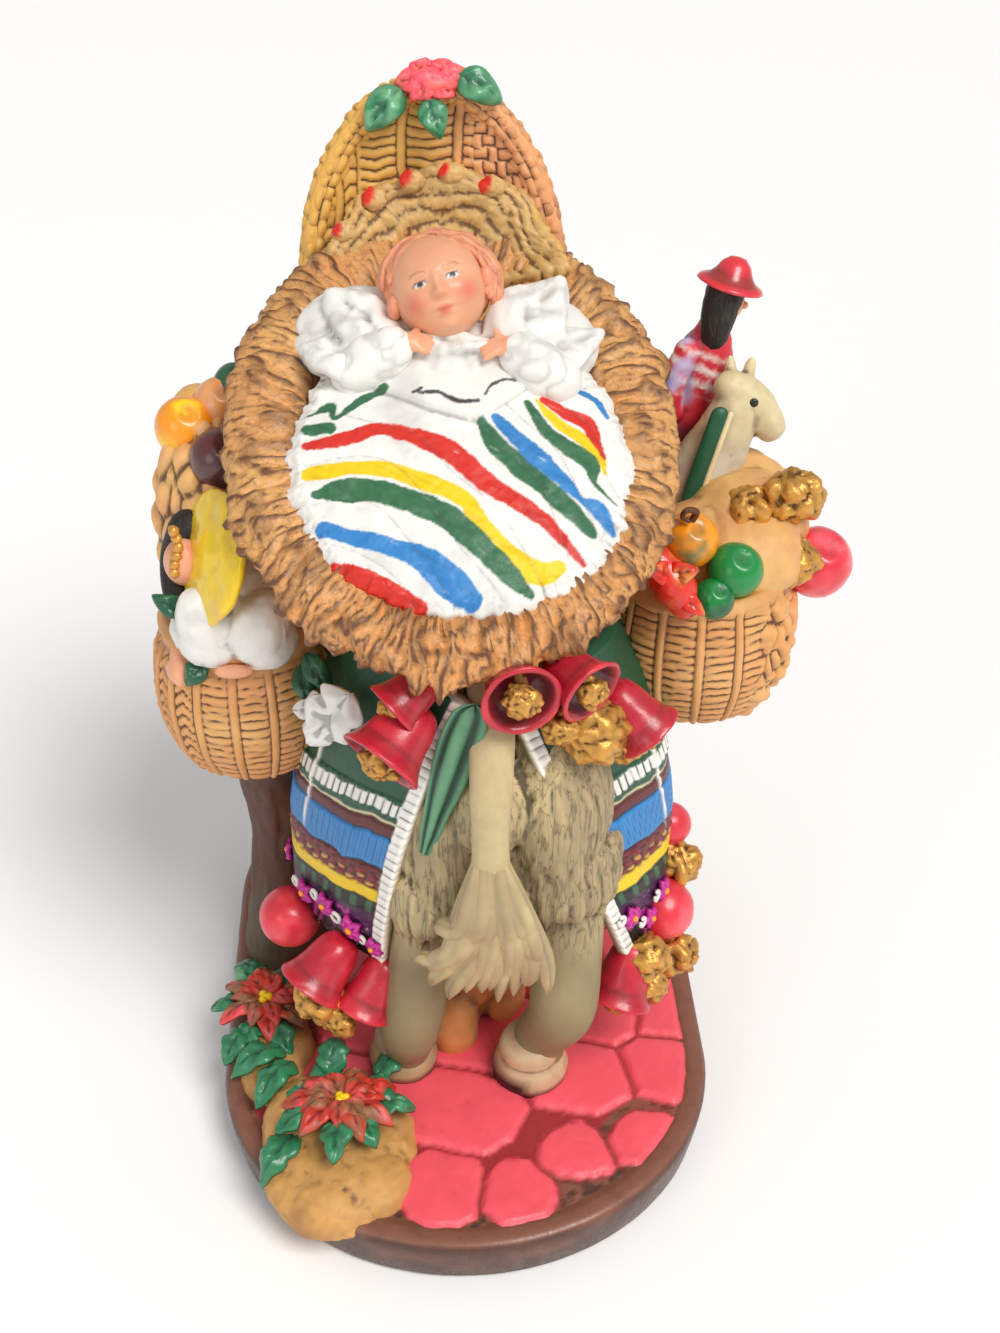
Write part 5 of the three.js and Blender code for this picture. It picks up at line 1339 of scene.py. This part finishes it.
# %% Flowers, scrolls and turned edge of the serape
def hem_flowers(name, sheet, out, spots):
    petals, hearts, scrolls = [], [], []
    for t, s, size in spots:
        i, j = int(t * (len(sheet) - 1)), int(s * (sheet.shape[1] - 1))
        middle, normal = sheet[i, j] + out[i, j] * 1.6, out[i, j]
        across, up, _ = frame_of(normal)
        for a in np.radians(np.arange(5) * 72 + 20 * s):
            petals.append(blade(middle, middle + size * (np.cos(a) * across + np.sin(a) * up), size * 0.85, normal, 0.2, 1.0))
        hearts.append(egg(middle + normal * 0.7, size * 0.28, 12))
        curl = np.linspace(0, 1.6 * np.pi, 9)
        centre = middle - up * size * 0.2 + across * size * 1.35
        curl_path = centre + 0.36 * size * (np.cos(curl)[:, None] * across + np.sin(curl)[:, None] * up)
        scrolls.append(limb([(*p, 0.45) for p in curl_path], 8, 24, side=normal))
    piece(name + "_petals", join(*petals), PETAL, "magenta", 0.2)
    piece(name + "_hearts", join(*hearts), FRUIT, "orange")
    piece(name + "_scrolls", join(*scrolls), CLOTH, "white", 0.2)


hem_flowers("left_flowers", left_sheet, left_out, [(0.90, 0.13, 3.4), (0.93, 0.035, 2.4), (0.88, 0.25, 3.0), (0.9, 0.37, 3.0),
                                                   (0.92, 0.6, 3.0), (0.92, 0.8, 3.0)])
hem_flowers("right_flowers", right_sheet, right_out, [(0.86, 0.10, 2.8), (0.92, 0.2, 2.6), (0.88, 0.33, 3.0), (0.9, 0.6, 3.0),
                                                      (0.9, 0.8, 3.0)])

flap_line = bend((1.8, -42.5, 121), (-8.6, -42.5, 86), (-15.5, -32, 50), np.linspace(0.03, 0.5, 12))
flap_width = (3.4, 3.8, 3.9, 3.8, 3.6, 3.3, 3.0, 2.6, 2.2, 1.8, 1.4, 0.9)
flap = limb([(*p, w, 1.1) for p, w in zip(flap_line, flap_width)], 40, 110)
flap_ridges = np.append(np.tile(np.abs(np.sin(np.arange(40) * 2 * np.pi / 40 * 2.5)), (len(flap[0]) - 2) // 40), [0, 0])
flap = pushed(flap, 0.7 * flap_ridges + 0.3 * rough(flap[0] * [1, 1, 0.3], 2.4, 171) - 0.3)
# Painted highlight: a paler green on the crests of the ridges.
flap_paint = over(coat(flap[0], "dark_green"), "leaf_pale", 0.45 * ease(0.3, 0.9, flap_ridges))
piece("serape_flap", flap, DRAPE, flap_paint, 0.2)
corner = join(blade((-21, -29, 116), (-30, -25, 101), 11, (-0.3, -0.9, 0.4), 0.02, 0.5, teeth=0.4),
              blade((-22, -28, 112), (-33, -20, 106), 7, (-0.3, -0.9, 0.4), 0.02, 0.5, seed=3, teeth=0.4))
corner = pushed(corner, 0.25 * rough(corner[0], 2, 173))
# Painted shade: grey in soft patches over the white.
piece("serape_corner", corner, CLOTH, over(coat(corner[0], "white"), "shade", 0.6 * ease(0, 0.5, rough(corner[0], 3, 174))), 0.2)

# %% [markdown]
# ## Panniers
# Each pannier is a round basket: upright stakes about 8 mm apart with short rungs between them. The
# outward side shows thick rope instead, plaited at the left and in round knots at the right.

# %% Pannier baskets
def pannier(name, centre, radius, bottom, top, rope_side, seed, smooth):
    rows = curve([(0, 0.5), (0, 0.62), (0.12, 0.82), (0.35, 0.98), (0.62, 1), (0.86, 0.94), (0.94, 0.98), (1, 0.9),
                  (1, 0.8)], 112)
    turn = np.linspace(0, 2 * np.pi, 380, endpoint=False)[None, :]
    r = radius * rows[:, 1:] * np.ones_like(turn)
    x, y = centre[0] + r * np.cos(turn), centre[1] + r * np.sin(turn)
    z = lerp(bottom, top, rows[:, :1]) * np.ones_like(turn)
    basket = skin(np.stack([x, y, z], -1))
    arc, up = (turn * radius * np.ones_like(r)).ravel(), z.ravel() - bottom
    outward_side = np.append(ease(0.45, 0.7, rope_side * np.cos(turn) * np.ones_like(r)).ravel(), [0, 0])
    plain = np.append(woven(arc, up, 2 * np.pi * radius / 15, 1.95, 0.12, seed), [0, 0])
    if rope_side < 0:
        rope = np.append(woven(arc, up, 2 * np.pi * radius / 18, 2.7, 0.9, seed), [0, 0]) * 1.5
    else:
        rope = 2.2 * knobs(basket[0] * [1, 1, 0.8], 4.2, seed)
    relief = lerp(plain, rope, outward_side)
    relief = relief * np.append(ease(0, 2, up) * ease(top - bottom - smooth, top - bottom - smooth - 4, up), [0, 0])
    basket = pushed(basket, 1.1 * relief - 0.4 + 0.35 * rough(basket[0], 5, seed + 1))
    paint = over(coat(basket[0], "wicker"), "wicker_pale", 0.7 * ease(-0.3, 0.5, rough(basket[0], 9, seed + 2)))
    paint = over(paint, "peach", 0.6 * ease(0.0, 0.5, rough(basket[0], 11, seed + 3)))
    piece(name, basket, WICKER, paint, 0.22, 3)


pannier("left_pannier", (-43, 2), 18.5, 81, 117, -1, 181, 5)
pannier("right_pannier", (50, 4), 19.5, 91, 124, 1, 186, 1)

# %% [markdown]
# ## Goods in the panniers
# Sacks, fruit, a pepper, glass-like balls and small dolls are heaped in both baskets. Lumpy sacks
# get pebbled relief, and fruit gets a dimple and a glossier paint.

# %% Sacks and heaps
left_sack = egg((-48, 15, 128), (13, 15, 24), 130)
left_sack = pushed(left_sack, 2.6 * knobs(left_sack[0] * [1, 1, 0.8], 6.0, 191) - 1.5 + 0.3 * rough(left_sack[0], 2, 192))
left_sack = relaxed(left_sack, 1)
piece("left_sack", left_sack, WICKER,
      over(coat(left_sack[0], "wicker_pale"), "peach", 0.7 * ease(-0.3, 0.5, rough(left_sack[0], 8, 193))), 0.4)
right_sack = melted([egg((60, 22, 121), (14, 13, 17)), egg((58, 2, 126), (13, 12, 9)), egg((52, 6, 126), (12, 12, 9)),
                     egg((60, 10, 129), (13, 11, 10))], 0.7)
right_sack = pushed(right_sack, 1.0 * rough(right_sack[0], 7, 194) + 0.3 * np.abs(rough(right_sack[0], 3, 195)))
piece("right_sack", right_sack, WICKER,
      over(coat(right_sack[0], "wicker_pale"), "peach", 0.6 * ease(-0.2, 0.5, rough(right_sack[0], 9, 196))), 0.4)

# %% Fruit and balls
def fruit(name, centre, radius, colour, tone, seed, dimple=0.12, squash=1.0):
    ball = egg(centre, (radius, radius, radius * squash), 60, bumps=0.03, size=4, seed=seed)
    top = unit(ball[0] - np.array(centre)) @ unit(np.array([0.2, -0.5, 0.8]))
    ball = pushed(ball, -dimple * radius * ease(0.90, 1, top) + 0.06 * rough(ball[0], 1.2, seed))
    paint = over(coat(ball[0], colour), tone, ease(-0.1, 0.6, rough(ball[0], 4, seed + 1)))
    piece(name, ball, FRUIT, paint, 0.2)


for name, centre, radius, colour, tone in [
    ("left_orange", (-53, 18, 149), 6.2, "orange", "yellow"), ("left_peach", (-46, 22, 152), 5.6, "peach", "orange"),
    ("left_lime", (-43, 24, 155), 4.6, "dark_green", "green"), ("left_plum", (-45.5, 8, 147), 6.2, "plum", "maroon"),
    ("left_apricot", (-51, 26, 148), 6.0, "ochre", "peach"), ("right_orange", (46, -6, 134), 5.6, "orange", "green"),
    ("right_pepper", (55, -8, 128), 5.6, "emerald", "emerald"), ("right_pepper_lobe", (50.5, -12, 124), 4.2, "emerald", "dark_green"),
    ("pink_ball", (75, 7, 120), 7.4, "ball", "coral"),
]:
    fruit(name, centre, radius, colour, tone, len(name) + int(radius * 10))

stem = limb([(46, -7, 139, 0.7), (46.5, -8, 141.5, 0.7), (44.5, -9, 142.5, 0.6), (43.8, -8.5, 140.8, 0.5), (45, -9, 140, 0.4)], 10, 30)
piece("orange_stem", stem, EARTH, "bark")
chilli = join(limb([(39, -12, 133, 3.2), (42, -14, 129, 4.2), (44, -15, 125, 3)], 30, 40),
              blade((41, -14, 131), (36, -17, 135), 5, (0, -0.8, 0.5)), blade((41, -14, 131), (46, -17, 134), 5, (0, -0.8, 0.5)),
              blade((42, -15, 128), (48, -18, 124), 4, (0, -0.8, 0.5)))
chilli = pushed(chilli, 0.3 * rough(chilli[0], 2, 197))
piece("red_chilli", chilli, FRUIT, over(coat(chilli[0], "red"), "ochre", 0.6 * ease(0, 0.6, rough(chilli[0], 3, 198))), 0.2)

# %% [markdown]
# ## The dolls
# A doll with a yellow hat and a white blouse leans out of the left pannier. On the right a small toy
# burro carries a rider with a red hat, black hair and a red shawl with pale stripes. Both are plain
# little figures, blocked in with limbs and eggs and finished with paint.

# %% Doll at the left
hat_spot, hat_axis = np.array([-46.8, -9.2, 135.6]), unit(np.array([-0.84, -0.42, 0.35]))
doll_hat = turned(hat_spot - hat_axis * 2.4, hat_spot + hat_axis * 2.6,
                  curve([(0, 2), (0.1, 9), (0.25, 11.8), (0.42, 12.7), (0.58, 12.2), (0.72, 9.5), (0.86, 6), (1, 1)], 40), 90)
foot_pull = ease(-7, -13, doll_hat[0][:, 2] - hat_spot[2])
doll_hat = (doll_hat[0] + foot_pull[:, None] * [0.4, -0.3, -1.6], doll_hat[1])
doll_hat = pushed(doll_hat, 0.5 * rough(doll_hat[0], 5, 201) + 0.1 * rough(doll_hat[0], 1.5, 202))
hat_tone = 0.5 * ease(0.0, 0.6, rough(doll_hat[0], 3.5, 202))
piece("doll_hat", doll_hat, FRUIT, over(coat(doll_hat[0], "yellow"), "ochre", hat_tone), 0.3)
blouse = melted([egg((-48.5, -11, 121), (6.0, 6, 8.5), turn=(0, -18, 0)), egg((-39, -13, 121), (6, 6, 8), turn=(0, 22, 0)),
                 egg((-44, -6, 124), (9, 7, 8)), egg((-52, -8, 118), (5, 5, 6)), egg((-48, -10, 117), (7, 7, 6)),
                 egg((-38, -11, 117), (6.5, 7, 6))], 0.5)
blouse = pushed(blouse, 0.9 * np.abs(rough(blouse[0] * [1, 1, 0.35], 4.5, 203)) - 0.2 + 0.2 * rough(blouse[0], 2, 206))
# Painted shade: grey in soft patches over the white.
blouse_paint = over(coat(blouse[0], "white"), "shade", 0.5 * ease(0.2, 0.7, rough(blouse[0], 5, 204)))
dabs = ease(0.62, 0.7, rough(blouse[0], 2.4, 207, 2)) * ease(-46, -50, blouse[0][:, 0])
piece("doll_blouse", blouse, CLOTH, over(blouse_paint, "leaf", dabs), 0.3)
doll_skin = melted([egg((-53, -4, 131), (4.2, 4.2, 5)), limb([(-54, -6, 116, 2.0), (-55.5, -9, 112, 2), (-55, -11, 109, 2.6)]),
                    egg((-55, -9, 109), (3.6, 3.4, 3)), egg((-44, -17, 113.5), (4, 1.6, 1.4))], 0.45)
piece("doll_arm", doll_skin, SKIN, over(coat(doll_skin[0], "skin"), "blush", 0.4 * ease(0, 0.6, rough(doll_skin[0], 3, 205))), 0.2)
doll_hair = limb([(-52, 1, 135, 4.5), (-54.5, 0, 129, 4), (-55.5, -4, 124, 2.6), (-54.5, -6, 121, 1.4)], 24, 30)
piece("doll_hair", doll_hair, FUR, "black", 0.2)
trim = join(*[egg((-54.0 + 0.6 * np.sin(k), -6.5 - 0.3 * k, 139.5 - 1.7 * k), 1.1, 12, bumps=0.3, size=1, seed=k) for k in range(6)])
piece("doll_trim", trim, GILT, "gilt", 0.2)
basket_leaves = join(*[blade(a, b, 5, (-0.2, -0.7, 0.6), seed=k) for k, (a, b) in enumerate([
    ((-54, -8, 122), (-59, -10, 127)), ((-30, -15, 116), (-25, -20, 110)), ((-31, -14, 113), (-29, -20, 106)),
    ((-50, -13, 113), (-54, -15, 109))])])
piece("basket_leaves", basket_leaves, LEAF, "dark_green", 0.2)

# %% Toy burro and rider
toy = melted([limb([(50, 20, 124, 9), (52, 20, 133, 8, 8), (55.5, 21, 141, 6.4, 6), (58.5, 22, 148, 5, 5), (60, 23, 152, 3.4)], 30, 50),
              limb([(57.5, 23, 152.5, 3.6, 3.8), (61, 22.6, 150, 4.0, 4.4), (65.4, 21.6, 144.6, 3.6, 3.6)], 30, 40, side=(0, 1, 0)),
              limb([(58, 25, 153, 1.4), (57.4, 26, 156.4, 1.2), (57.2, 26, 158, 0.5)], 12, 12),
              limb([(61, 25, 153, 1.4), (61.6, 26, 156, 1.2), (61.9, 26, 157.4, 0.5)], 12, 12)], 0.5)
toy = pushed(toy, 0.35 * rough(toy[0], 3, 211))
# Painted shade: the cream turns grey towards the bottom.
toy_paint = over(coat(toy[0], "cream"), "shade", 0.55 * ease(148, 138, toy[0][:, 2]))
piece("toy_burro", toy, HIDE, toy_paint, 0.25)
toy_eyes = join(egg((61.4, 18.7, 151.0), (1.0, 0.6, 1.0), 16), egg((64.5, 26, 149.5), (1, 0.6, 1), 16))
piece("toy_eyes", toy_eyes, GLOSS, "black")
strap_path = [(54.2, 16.2, 149.5), (51.8, 14, 143), (49.2, 12.2, 135), (47, 10.2, 126)]
strap = join(limb([(*p, 1.9, 0.9) for p in strap_path], 16, 40), limb([(p[0] + 2.1, p[1] - 0.2, p[2] + 0.4, 0.6) for p in strap_path], 10, 40))
strap_paint = over(coat(strap[0], "dark_green"), "cream", (np.arange(len(strap[0])) >= len(strap[0]) - 482) * 1.0)
piece("toy_strap", strap, DRAPE, strap_paint, 0.2)

rider_body = melted([limb([(46, 30, 136, 7, 6), (50, 31, 146, 6, 5), (53, 32, 155, 6.0, 5), (54.5, 32, 161, 3.6, 3.4)], 30, 50),
                     limb([(49, 29, 158, 2.6), (46, 27, 152, 2.8), (46, 26, 146, 2.4)], 16, 20),
                     egg((46.5, 31, 149), (5, 3.6, 3.4))], 0.45)
rider_body = pushed(rider_body, 0.4 * np.abs(rough(rider_body[0], 3, 212)))
shawl = rider_body[0][:, 2] + 0.45 * (rider_body[0][:, 0] - 53)
rider_paint = over(coat(rider_body[0], "ball"), "maroon", ease(146, 141, rider_body[0][:, 2]))
stripes = ease(0.0, 0.5, np.sin((shawl - 150) * 1.9)) * ease(147.5, 148.5, shawl) * ease(158, 157, shawl)
rider_paint = over(rider_paint, "white", stripes * 0.85)
sleeve_side = ease(51, 48.5, rider_body[0][:, 0]) * ease(146, 149, rider_body[0][:, 2])
rider_paint = over(rider_paint, "lilac", sleeve_side * ease(-0.3, 0.2, rough(rider_body[0], 3, 213)))
rider_paint = over(rider_paint, "blue", sleeve_side * ease(0.1, 0.4, rough(rider_body[0], 4, 214)) * 0.7)
piece("rider_body", rider_body, DRAPE, rider_paint, 0.25)
rider_head = egg((57.2, 31.4, 167.8), (3.1, 3.4, 3.9), 40)
rider_nose = egg((60.1, 30.2, 167.2), (0.8, 0.8, 0.8), 14)
piece("rider_head", join(rider_head, rider_nose), SKIN, "skin", 0.2)
rider_hair = melted([egg((56, 31, 168.8), (3.9, 4.4, 4.4)),
                     limb([(55.4, 30, 168, 3.8, 3.4), (54.6, 29.6, 163.5, 3.4, 2.8), (54.2, 29.4, 160, 2.6, 2), (54, 29.4, 158.4, 1.4)], 20, 24)], 0.4)
rider_hair = pushed(rider_hair, 0.35 * np.abs(rough(rider_hair[0] * [1, 1, 0.2], 1.1, 215)))
piece("rider_hair", rider_hair, FUR, "black", 0.2)
rider_hat = turned((56.9, 31.6, 170.2), (58.7, 32.3, 176.6), [(0, 3), (0.05, 6.2), (0.12, 7.2), (0.2, 7.1), (0.3, 4.6), (0.5, 3.9), (0.8, 3.2), (1, 1.5)], 60)
rider_hat = relaxed(pushed(rider_hat, 0.25 * rough(rider_hat[0], 3, 216)), 1)
piece("rider_hat", rider_hat, FRUIT, over(coat(rider_hat[0], "ball"), "red", 0.5 * ease(-0.2, 0.5, rough(rider_hat[0], 3, 217))), 0.2)

# %% [markdown]
# ## Bells, balls and gilt cones
# Bunches of red bells hang under the cradle and at the hem of the serape. A bell is a turned form:
# out over the crown, flaring to a thick rolled lip, and back up inside. Its clapper is a gilt nugget
# in the mouth. Between the bells sit gilt cones, pebbled all over, and plain red balls.

# %% Bells and clappers
bell_radius = 7
BELLS = [((-5, -37, 126), (-13, -41, 120.5), 0.8), ((-7.5, -38, 119), (-15.5, -45.5, 112), 1.12),
         ((8, -35, 126.5), (10.5, -47, 126), 1.0), ((17, -35, 127.5), (23.5, -43.5, 125), 0.9),
         ((28, -31, 117), (36, -34, 108), 0.9), ((-25, -26, 50), (-33, -31, 41), 1.0),
         ((-16, -28, 46), (-22, -32, 35), 0.9), ((37, -25, 45), (33, -30, 33), 1.0)]
bell_rows = [(-0.02, 0.05), (-0.01, 0.3), (0.03, 0.46), (0.12, 0.6), (0.3, 0.7), (0.5, 0.76), (0.7, 0.84), (0.86, 0.95),
             (0.95, 1.05), (1.0, 1.08), (1.02, 1.0), (0.99, 0.9), (0.88, 0.78), (0.78, 0.6), (0.74, 0.3), (0.73, 0.02)]


def nugget(centre, radius, seed, squash=(1, 0.92, 1)):
    lump = egg(centre, np.array(squash) * radius, 64)
    foil = np.abs(rough(lump[0], radius * 0.8, seed, 3))
    lump = pushed(lump, 0.45 * radius * foil + 0.12 * radius * knobs(lump[0], radius * 0.7, seed) - 0.2 * radius)
    return pushed(lump, 0.3 * np.abs(rough(lump[0], 1.4, seed + 1, 2)) - 0.25 * cracks(lump[0], 3.2, seed))


bell_line = curve(bell_rows, 44)
for k, (crown, mouth, grow) in enumerate(BELLS):
    crown, mouth = np.array(crown, float), np.array(mouth, float)
    bell = turned(crown, mouth, [(t, r * bell_radius * grow) for t, r in bell_line], 56)
    share = np.clip(((bell[0] - crown) @ (mouth - crown)) / np.sum((mouth - crown) ** 2), 0, 1.05)
    bell = pushed(bell, 0.25 * rough(bell[0], 4, 220 + k) + 0.05 * rough(bell[0], 1.2, 230 + k))
    paint = over(coat(bell[0], "bell"), "ball", 0.7 * ease(-0.2, 0.5, rough(bell[0], 5, 240 + k)))
    spoke = np.linalg.norm(bell[0] - crown - share[:, None] * (mouth - crown), axis=1) / (bell_radius * grow)
    # Painted shade: dark maroon inside the mouth of the bell.
    paint = over(paint, "maroon", ease(0.98, 0.75, spoke) * ease(0.7, 0.76, share))
    piece(f"bell_{k + 1}", bell, GLOSS, paint, 0.3, keep=1)
    clapper = nugget(lerp(crown, mouth, 0.98), bell_radius * grow * 0.5, 250 + k)
    piece(f"clapper_{k + 1}", clapper, GILT, "gilt", 0.2)

# %% Balls and cones
for k, (centre, radius) in enumerate([((-38, -11, 43), 6.8), ((44, -15, 45), 7.0), ((46, -4, 60), 5.0)]):
    ball = egg(centre, radius, 60, bumps=0.03, size=4, seed=k)
    paint = over(coat(ball[0], "ball"), "coral", 0.7 * ease(-0.2, 0.5, rough(ball[0], 5, 260 + k)))
    piece(f"red_ball_{k + 1}", ball, GLOSS, paint, 0.3)

cone_radius = 5.5
CONES = [((25, -37, 111), 1.25), ((39, -27, 42), 1), ((47, -18, 34), 1), ((48, -8, 52), 1), ((18, -42, 116), 0.7),
         ((-31, -31, 38), 1), ((68, 5, 137), 1.1), ((68, 0, 125), 1.05), ((60, 4, 134), 1), ((31, -34, 106), 0.8),
         ((-27, -33, 33), 0.7), ((40, -28, 35), 0.8)]
for k, (centre, grow) in enumerate(CONES):
    piece(f"gilt_cone_{k + 1}", nugget(centre, cone_radius * grow, 270 + k), GILT, "gilt", 0.3)
